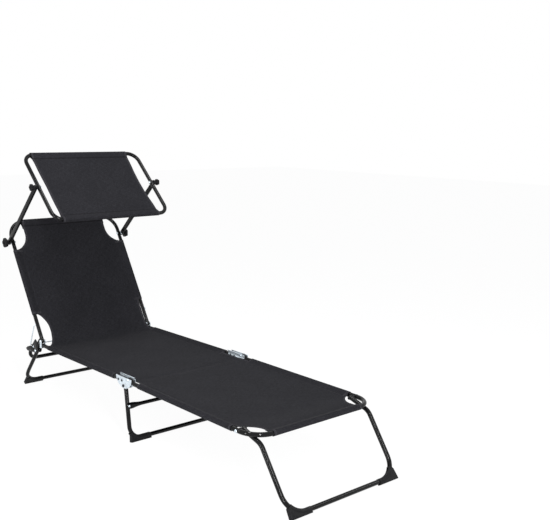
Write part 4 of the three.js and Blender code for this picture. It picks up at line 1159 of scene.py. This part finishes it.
# %% [markdown]
# The section of a sleeve: from the seam, up a straight slope to the tube, round it, and
# back under to the seam, with a short hem that lies under the panel. The list holds
# how far each point is outwards and up from the tube's axis, and the length walked so far.

# %% The folded margin of the cloth
SLEEVE_RADIUS = 9.9
CLOTH_THICKNESS = 1.1
LAYER_HALF_GAP = 1.25
SEAM_REACH = 24.0
HEM = 9.0
ARC_STEPS = 14


def folded_margin():
    distance = math.hypot(SEAM_REACH, LAYER_HALF_GAP)
    top = math.pi - math.atan2(LAYER_HALF_GAP, SEAM_REACH) - math.acos(SLEEVE_RADIUS / distance)
    angles = [top - 2 * top * step / ARC_STEPS for step in range(ARC_STEPS + 1)]
    arc = [(SLEEVE_RADIUS * math.cos(angle), SLEEVE_RADIUS * math.sin(angle)) for angle in angles]
    half_way = ((arc[0][0] - SEAM_REACH) / 2, (arc[0][1] + LAYER_HALF_GAP) / 2)
    points = [(-SEAM_REACH, LAYER_HALF_GAP), half_way, *arc, (half_way[0], -half_way[1])]
    points += [(-SEAM_REACH, -LAYER_HALF_GAP), (-SEAM_REACH - HEM, -LAYER_HALF_GAP)]
    walked = [0.0]
    for before, after in zip(points, points[1:]):
        walked.append(walked[-1] + math.dist(before, after))
    return points, walked


margin_points, margin_walked = folded_margin()
MARGIN_START = FRAME_HALF_WIDTH - SEAM_REACH
FULL_HALF_WIDTH = MARGIN_START + margin_walked[-1]


def point_on_margin(distance):
    index = min(max(bisect_right(margin_walked, distance) - 1, 0), len(margin_walked) - 2)
    share = (distance - margin_walked[index]) / (margin_walked[index + 1] - margin_walked[index])
    first = margin_points[index]
    second = margin_points[index + 1]
    return (first[0] + (second[0] - first[0]) * share, first[1] + (second[1] - first[1]) * share)


print("the flat cut is", round(2 * FULL_HALF_WIDTH), "mm wide where it wraps both tubes")

# %% [markdown]
# Along its length the cloth follows a line in the side view: straight stretches with round turns
# between them, such as the hollow where the seat turns up into the backrest.
# A station tells the place and the slope at a distance along that line.

# %% The cloth's line in the side view
def side_line(corners):
    pieces = []
    here = Vector(corners[0][0])
    for index in range(1, len(corners)):
        place = Vector(corners[index][0])
        heading = (place - Vector(corners[index - 1][0])).normalized()
        if index == len(corners) - 1:
            pieces.append(("straight", here, heading, (place - here).length))
            break
        leaving = (Vector(corners[index + 1][0]) - place).normalized()
        turn = -heading.angle_signed(leaving)
        radius = corners[index][1]
        setback = radius * math.tan(abs(turn) / 2)
        start = place - heading * setback
        pieces.append(("straight", here, heading, (start - here).length))
        if radius:
            pieces.append(("turn", start, heading, radius * abs(turn), radius, turn))
        here = place + leaving * setback

    def station(distance):
        for kind, start, heading, length, *bend in pieces:
            if distance <= length or pieces[-1][1] is start:
                break
            distance -= length
        slope = math.atan2(heading.y, heading.x)
        if kind == "straight":
            return start + heading * distance, slope
        radius, turn = bend
        swept = math.copysign(distance / radius, turn)
        normal = Vector((-heading.y, heading.x)) * math.copysign(1, turn)
        centre = start + normal * radius
        now = slope + swept
        return centre - Vector((-math.sin(now), math.cos(now))) * radius * math.copysign(1, turn), now

    return station, sum(piece[3] for piece in pieces)


# %% [markdown]
# The cutter makes a flat grid, with a row at each chosen length and a column at each chosen share
# of the width, then moves every point to where the cloth holds it. The flat place is kept as the
# cloth's UV map, in metres, and the distance to the nearest cut edge as an attribute. Last, the
# sheet gets its thickness. Shaping the cut was chosen over a cloth simulation:
# this cloth is held taut, so all it does is sag a little.

# %% The cloth cutter
EDGE_LIMIT = 60
ROW_STEP = 9
RIPPLE_ACROSS = 2.2
RIPPLE_ALONG = 0.006
RIPPLE_HEIGHT = 0.7


def columns_across(count, margins=()):
    half = [(step / count, 0.0) for step in range(count + 1)] + [(1.0, walked) for walked in margins]
    return [(-1, *place) for place in reversed(half[1:])] + [(1, *place) for place in half]


def rows_along(marks):
    rows = []
    for first, second in zip(marks, marks[1:]):
        count = max(1, math.ceil((second - first) / ROW_STEP))
        rows += [first + (second - first) * index / count for index in range(count)]
    return rows + [marks[-1]]


def edge_at(cuts, row):
    for start, end, curve in cuts:
        if start < row < end:
            return curve(row)
    return None


def distance_to_edge(cuts, row, across, edge):
    if edge is not None:
        return edge - across
    ends = [place for start, end, curve in cuts for place in (start, end)]
    along = min([abs(row - place) for place in ends] + [EDGE_LIMIT])
    return math.hypot(along, max(MARGIN_START - across, 0))


def place_across(across):
    if across <= MARGIN_START:
        return across, LAYER_HALF_GAP
    out, up = point_on_margin(across - MARGIN_START)
    return out + FRAME_HALF_WIDTH, up


def round_the_bar(row, length, fold_start, fold_end):
    if fold_start is not None and row < fold_start:
        return 0, -1, fold_start - row
    if fold_end is not None and row > fold_end:
        return length, 1, row - fold_end
    return None


def cut_cloth(name, line, rows, columns, cuts, lift, fold_start=None, fold_end=None):
    station, length = line
    mesh = bmesh.new()
    bmesh.ops.create_grid(mesh, x_segments=len(columns) - 1, y_segments=len(rows) - 1, size=1)
    mesh.verts.index_update()
    flat_map = mesh.loops.layers.uv.new("Flat cut")
    edge_layer = mesh.verts.layers.float.new("to_cut_edge")
    flat_places = {}
    outside = set()
    for vert in mesh.verts:
        side, share, walked = columns[round((vert.co.x + 1) / 2 * (len(columns) - 1))]
        row = rows[round((vert.co.y + 1) / 2 * (len(rows) - 1))]
        edge = edge_at(cuts[side], row)
        if walked and edge is not None:
            outside.add(vert.index)
        across = share * (MARGIN_START if edge is None else edge) + walked
        out, up = place_across(across)
        folded = round_the_bar(row, length, fold_start, fold_end)
        if folded:
            bar, direction, walked_round = folded
            outwards, rise = point_on_margin(walked_round)
            base, slope = station(bar)
            base = base + Vector((math.cos(slope), math.sin(slope))) * direction * outwards
            up += rise - LAYER_HALF_GAP
        else:
            base, slope = station(min(max(row, 0), length))
            up += lift(min(across / FRAME_HALF_WIDTH, 1), row, side)
        normal = Vector((-math.sin(slope), math.cos(slope)))
        spot = base + normal * up
        vert.co = at(side * out, spot.x, spot.y)
        to_edge = distance_to_edge(cuts[side], row, across, edge)
        vert[edge_layer] = min(to_edge, EDGE_LIMIT) * MILLIMETRE
        from_bars = [] if fold_start is None else [row]
        from_bars += [] if fold_end is None else [length - row]
        flat_places[vert.index] = (side * across * MILLIMETRE, min(from_bars) * MILLIMETRE)
    for face in mesh.faces:
        for loop in face.loops:
            loop[flat_map].uv = flat_places[loop.vert.index]
    spare = [face for face in mesh.faces if any(vert.index in outside for vert in face.verts)]
    bmesh.ops.delete(mesh, geom=spare, context="FACES")
    area = sum(face.calc_area() for face in mesh.faces)
    bmesh.ops.solidify(mesh, geom=mesh.faces[:], thickness=CLOTH_THICKNESS * MILLIMETRE)
    bmesh.ops.recalc_face_normals(mesh, faces=mesh.faces)
    piece = show_piece(mesh, name, cloth, sharp_from=55)
    widest = max(abs(place[0]) for index, place in flat_places.items() if index not in outside)
    size = (2 * widest, (rows[-1] - rows[0]) * MILLIMETRE)
    print(name, "flat cut", [round(value, 3) for value in size], "area", round(area, 3))
    return piece, size, area


def ripple(across, row, side, seed):
    place = Vector((side * across * RIPPLE_ACROSS, row * RIPPLE_ALONG, seed))
    return RIPPLE_HEIGHT * noise.noise(place)


def smooth_rise(value, low, high):
    share = min(max((value - low) / (high - low), 0), 1)
    return share * share * (3 - 2 * share)


print("cutter ready, rows at most", ROW_STEP, "mm apart")


# %% [markdown]
# The front cloth covers the foot section and the front half of the seat. Its end is a sleeve round
# the foot bar, between two curved cut-outs that leave the tube's corners free, and it is
# narrower beside the middle hinge. It bends over the hinge when the foot section folds.

# %% Cut the front cloth
SAG = 7
TAUT_RUN = 110
CREASE_DEPTH = 1.3
CREASE_WIDTH = 10
CUT_RAMP = 1.5
FOOT_BEND = 400
CORNER_CUT_END = 107
foot_line = side_line([(FOOT_BAR, 0), (FOOT_CRANK, FOOT_BEND), (MID_SEAT, 0)])
foot_total = foot_line[1]


def from_foot_bar(along):
    return along - FOOT_BAR[0]


hinge_notch = (from_foot_bar(-79), from_foot_bar(78))
hinge_crease = from_foot_bar(-14)
foot_corner = [(SEAM_REACH, 200), (43, 199), (63, 205), (81, 218), (93, 232), (101, 247), (105.5, 262)]
foot_end_edge = smooth_curve([(-200, 200), *foot_corner])
hinge_notch_edge = smooth_curve([(hinge_notch[0], 255.5), (from_foot_bar(0), 254), (hinge_notch[1], 255.5)])
foot_cuts = [(-300, CORNER_CUT_END, foot_end_edge), (*hinge_notch, hinge_notch_edge)]
foot_marks = [row for row, reach in foot_corner] + [
    CORNER_CUT_END, hinge_notch[0], hinge_notch[0] + CUT_RAMP,
    hinge_notch[1] - CUT_RAMP, hinge_notch[1], foot_total,
]
fold_rows = [SEAM_REACH - walked for walked in reversed(margin_walked)]
foot_rows = fold_rows + rows_along(foot_marks)[1:]


def foot_lift(across, row, side):
    taut = smooth_rise(row, SEAM_REACH, SEAM_REACH + TAUT_RUN)
    slack = 1 - across ** 2
    crease = CREASE_DEPTH * math.exp(-((row - hinge_crease) / CREASE_WIDTH) ** 2)
    return (ripple(across, row, side, seed=1.5) - SAG) * slack * taut - crease


columns = columns_across(16, margin_walked[1:])
foot_cloth, size, area = cut_cloth(
    "front_cloth", foot_line, foot_rows, columns, {1: foot_cuts, -1: foot_cuts}, foot_lift,
    fold_start=SEAM_REACH,
)
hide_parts("foot_cover")
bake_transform(foot_cloth, "foot_section", "seat_section", start=at(0, -62, 226), end=at(0, 18, 226))

# %% [markdown]
# The rear cloth covers the rest of the seat and the backrest. Between the two, the sides are cut
# away round the rear hinge, and the cloth turns up in one soft hollow. At the top it is
# sewn round the bar, again between two curved cut-outs.

# %% Cut the rear cloth
HOLLOW_RADIUS = 88
HOLLOW_LENGTH = 60
HOLLOW_LIFT = 4
BELOW_PIN = 19.7
SEAT_CLOTH_HEIGHT = 219.3
meeting = (BACK_PIN[0] - BELOW_PIN * math.cos(math.radians(BACK_ANGLE)), SEAT_CLOTH_HEIGHT)
back_line = side_line([(MID_SEAT, 0), (meeting, HOLLOW_RADIUS), (BACK_BAR, 0)])
back_total = back_line[1]


def from_mid_seat(along):
    return along - MID_SEAT[0]


def up_the_back(distance):
    return back_total - (BACK_LENGTH - distance)


def reaches_up_the_back(marks):
    return [(up_the_back(distance), reach) for distance, reach in marks]


seat_sleeve_end = from_mid_seat(582)
back_sleeve_start = up_the_back(122)
back_sleeve_end = up_the_back(418)
right_hinge_edge = smooth_curve([
    (seat_sleeve_end, 266), (from_mid_seat(597), 255), (from_mid_seat(614), 240), *reaches_up_the_back([
        (12, 223), (39, 218.5), (62, 219.5), (81, 225), (100, 235.5), (114, 247), (120.5, 262),
    ]),
])
left_hinge_edge = smooth_curve([
    (seat_sleeve_end, 262), (from_mid_seat(600), 257.5), *reaches_up_the_back([
        (0, 257), (100, 257.5), (120.5, 262),
    ]),
])
top_edge = smooth_curve([(back_sleeve_end, 264), *reaches_up_the_back([
    (420, 258), (424, 246), (434, 231), (448, 217), (465, 208), (487, 203.5), (508, 203.5), (524, 205),
    (720, 208),
])])
top_cut = (back_sleeve_end, up_the_back(800), top_edge)
back_cuts = {
    1: [(seat_sleeve_end, back_sleeve_start, left_hinge_edge), top_cut],
    -1: [(seat_sleeve_end, back_sleeve_start, right_hinge_edge), top_cut],
}
back_marks = [
    0, seat_sleeve_end, seat_sleeve_end + CUT_RAMP, from_mid_seat(597), from_mid_seat(614),
    *[up_the_back(place) for place in (12, 39, 81, 100, 114, 120.5)], back_sleeve_start,
    back_sleeve_end, *[up_the_back(place) for place in (419.5, 424, 434, 448, 524)],
]
back_fold = back_total - SEAM_REACH
back_rows = rows_along(back_marks)[:-1] + [back_fold + walked for walked in margin_walked]


def back_lift(across, row, side):
    taut = 1 - smooth_rise(row, back_fold - TAUT_RUN, back_fold)
    in_hollow = math.exp(-((row - up_the_back(-8)) / HOLLOW_LENGTH) ** 2)
    slack = 1 - across ** 2
    return (-SAG + HOLLOW_LIFT * in_hollow + ripple(across, row, side, seed=7.5)) * slack * taut


back_cloth, size, area = cut_cloth(
    "rear_cloth", back_line, back_rows, columns, back_cuts, back_lift, fold_end=back_fold,
)
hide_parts("seat_cover", "back_cover")
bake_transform(back_cloth, "seat_section", "backrest", start=at(0, 598, 219.6), end=at(0, 650, 262))

# %% [markdown]
# The canopy's cloth is held by its two bars only, so its free sides pull in a little between them.
# It sits slightly to the right of the middle, as on the real one.

# %% Cut the canopy cloth
canopy_line = side_line([(CANOPY_BOTTOM, 0), (CANOPY_TOP, 0)])
canopy_total = canopy_line[1]
canopy_fold = canopy_total - SEAM_REACH
canopy_rows = fold_rows + rows_along([SEAM_REACH, canopy_fold])[1:-1]
canopy_rows += [canopy_fold + walked for walked in margin_walked]
CANOPY_REACH_RIGHT = 241
CANOPY_REACH_LEFT = 222
PULLED_IN = 4
CANOPY_SAG = 5
CANOPY_TAUT_RUN = 130


def canopy_edge(at_bars):
    curve = smooth_curve([
        (-200, at_bars), (SEAM_REACH, at_bars), (canopy_total / 2, at_bars - PULLED_IN),
        (canopy_fold, at_bars), (canopy_total + 200, at_bars),
    ])
    return [(-300, canopy_total + 300, curve)]


def canopy_lift(across, row, side):
    near_bottom = smooth_rise(row, SEAM_REACH, CANOPY_TAUT_RUN)
    near_top = 1 - smooth_rise(row, canopy_total - CANOPY_TAUT_RUN, canopy_fold)
    return (-CANOPY_SAG + ripple(across, row, side, seed=12.5)) * near_bottom * near_top


canopy_cloth, size, area = cut_cloth(
    "canopy_cloth", canopy_line, canopy_rows, columns_across(24),
    {-1: canopy_edge(CANOPY_REACH_RIGHT), 1: canopy_edge(CANOPY_REACH_LEFT)}, canopy_lift,
    fold_start=SEAM_REACH, fold_end=canopy_fold,
)
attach(canopy_cloth, "canopy")
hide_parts("canopy_cover")

# %% [markdown]
# The photograph was taken from the lounger's foot end, to its right and above. The camera's place
# and turn were fitted to points that were measured in the photograph. Its lens is shifted,
# because the picture's middle isn't where the lens pointed.

# %% Set up the camera
PICTURE_WIDTH = 550
PICTURE_HEIGHT = 520
FOCAL_PIXELS = 813.75
CENTRE_ACROSS = 202.08
CENTRE_DOWN = 336.71
CAMERA_PLACE = (-1.8245, -2.4048665, 1.135)
AZIMUTH = math.radians(-38.9039)
ELEVATION = math.radians(14.7361)
ROLL = math.radians(0.7173)
away = Vector((
    math.sin(AZIMUTH) * math.cos(ELEVATION),
    -math.cos(AZIMUTH) * math.cos(ELEVATION),
    math.sin(ELEVATION),
))
level_right = (-away).cross(Vector((0, 0, 1))).normalized()
level_up = level_right.cross(-away)
right = level_right * math.cos(ROLL) + level_up * math.sin(ROLL)
up = level_up * math.cos(ROLL) - level_right * math.sin(ROLL)
lens = bpy.data.cameras.new("photo_camera")
lens.sensor_fit = "HORIZONTAL"
lens.sensor_width = 36
lens.lens = FOCAL_PIXELS * lens.sensor_width / PICTURE_WIDTH
lens.shift_x = (PICTURE_WIDTH / 2 - CENTRE_ACROSS) / PICTURE_WIDTH
lens.shift_y = (CENTRE_DOWN - PICTURE_HEIGHT / 2) / PICTURE_WIDTH
lens.clip_start = 0.05
lens.clip_end = 60
camera = bpy.data.objects.new("photo_camera", lens)
bpy.context.collection.objects.link(camera)
turned = Matrix((right, up, away)).transposed().to_4x4()
camera.matrix_world = Matrix.Translation(CAMERA_PLACE) @ turned
bpy.context.scene.camera = camera
print("lens", round(lens.lens, 2), "mm")

# %% [markdown]
# The photograph has a pure white background, so the floor looks white to the camera and in
# reflections, and mixes in some of its lit surface, which keeps a faint shadow under the legs.

# %% Lay the floor
FLOOR_SIZE = 14
FLOOR_WHITE = 1.1
FLOOR_WHITE_SHARE = 0.87


def show_white(tree, share, lit, white, output):
    rays = tree.nodes.new("ShaderNodeLightPath").outputs
    seen = calculate(tree, "MAXIMUM", rays["Is Camera Ray"], rays["Is Glossy Ray"])
    seen = calculate(tree, "MAXIMUM", seen, rays["Is Transmission Ray"])
    blend = tree.nodes.new("ShaderNodeMixShader")
    tree.links.new(calculate(tree, "MULTIPLY", seen, share), blend.inputs["Fac"])
    tree.links.new(lit, blend.inputs[1])
    tree.links.new(white, blend.inputs[2])
    tree.links.new(blend.outputs["Shader"], tree.nodes[output].inputs["Surface"])


floor_mesh = bmesh.new()
bmesh.ops.create_grid(floor_mesh, x_segments=8, y_segments=8, size=FLOOR_SIZE)
floor_data = bpy.data.meshes.new("studio_floor")
floor_mesh.to_mesh(floor_data)
floor_mesh.free()
floor = bpy.data.objects.new("studio_floor", floor_data)
bpy.context.collection.objects.link(floor)

paper, tree, shader, places = new_finish("White paper floor", Roughness=0.9, Specular_IOR_Level=0.1)
tone = place_group(tree, mottling, Vector=places["Object"], Scale=3.0, Low=0.99, High=1.0)["Factor"]
tree.links.new(shade_by(tree, (0.92, 0.92, 0.92), tone), shader["Base Color"])
white = tree.nodes.new("ShaderNodeEmission")
white.inputs["Strength"].default_value = FLOOR_WHITE
lit_surface = tree.nodes["Principled BSDF"].outputs["BSDF"]
show_white(tree, FLOOR_WHITE_SHARE, lit_surface, white.outputs["Emission"], "Material Output")
floor_data.materials.append(paper)
print("floor", floor.name)

# %% [markdown]
# A plain studio: a tall, narrow lamp in front, one overhead, weaker ones on each side,
# one of them low, and a pale world. The canopy stands between the overhead lamp and much of
# the backrest, which looks darker for it. The black tubes mirror the lamps as thin, pale lines.

# %% Light the scene
WORLD_STRENGTH = 0.16
LAMP_WIDTH = 0.16

world = bpy.data.worlds.new("Pale studio")
bpy.context.scene.world = world
world.use_nodes = True
tree = world.node_tree
lit = tree.nodes["Background"]
lit.inputs["Color"].default_value = (0.93, 0.96, 1.0, 1)
lit.inputs["Strength"].default_value = WORLD_STRENGTH
seen_world = tree.nodes.new("ShaderNodeBackground")
seen_world.inputs["Color"].default_value = (1, 1, 1, 1)
show_white(tree, 1.0, lit.outputs["Background"], seen_world.outputs["Background"], "World Output")


def strip_lamp(name, place, target, length, power):
    light = bpy.data.lights.new(name, "AREA")
    light.shape = "RECTANGLE"
    light.size = LAMP_WIDTH
    light.size_y = length
    light.energy = power
    lamp = bpy.data.objects.new(name, light)
    lamp.location = place
    lamp.rotation_euler = (Vector(target) - Vector(place)).to_track_quat("-Z", "Y").to_euler()
    bpy.context.collection.objects.link(lamp)


strip_lamp("front_strip", (-1.3, -2.7, 1.4), (0, 0.1, 0.4), 2.2, 56)
strip_lamp("overhead_strip", (-0.3, 0.0, 2.4), (0, 0.2, 0.4), 1.6, 15)
strip_lamp("left_strip", (-2.7, 1.5, 1.9), (0, 0.2, 0.4), 1.8, 7)
strip_lamp("low_strip", (-2.6, -0.6, 0.5), (0, 0.2, 0.3), 1.8, 20)
strip_lamp("right_strip", (2.3, -2.0, 1.7), (0, 0, 0.4), 1.8, 10)
view = bpy.context.scene.view_settings
view.view_transform = "Standard"
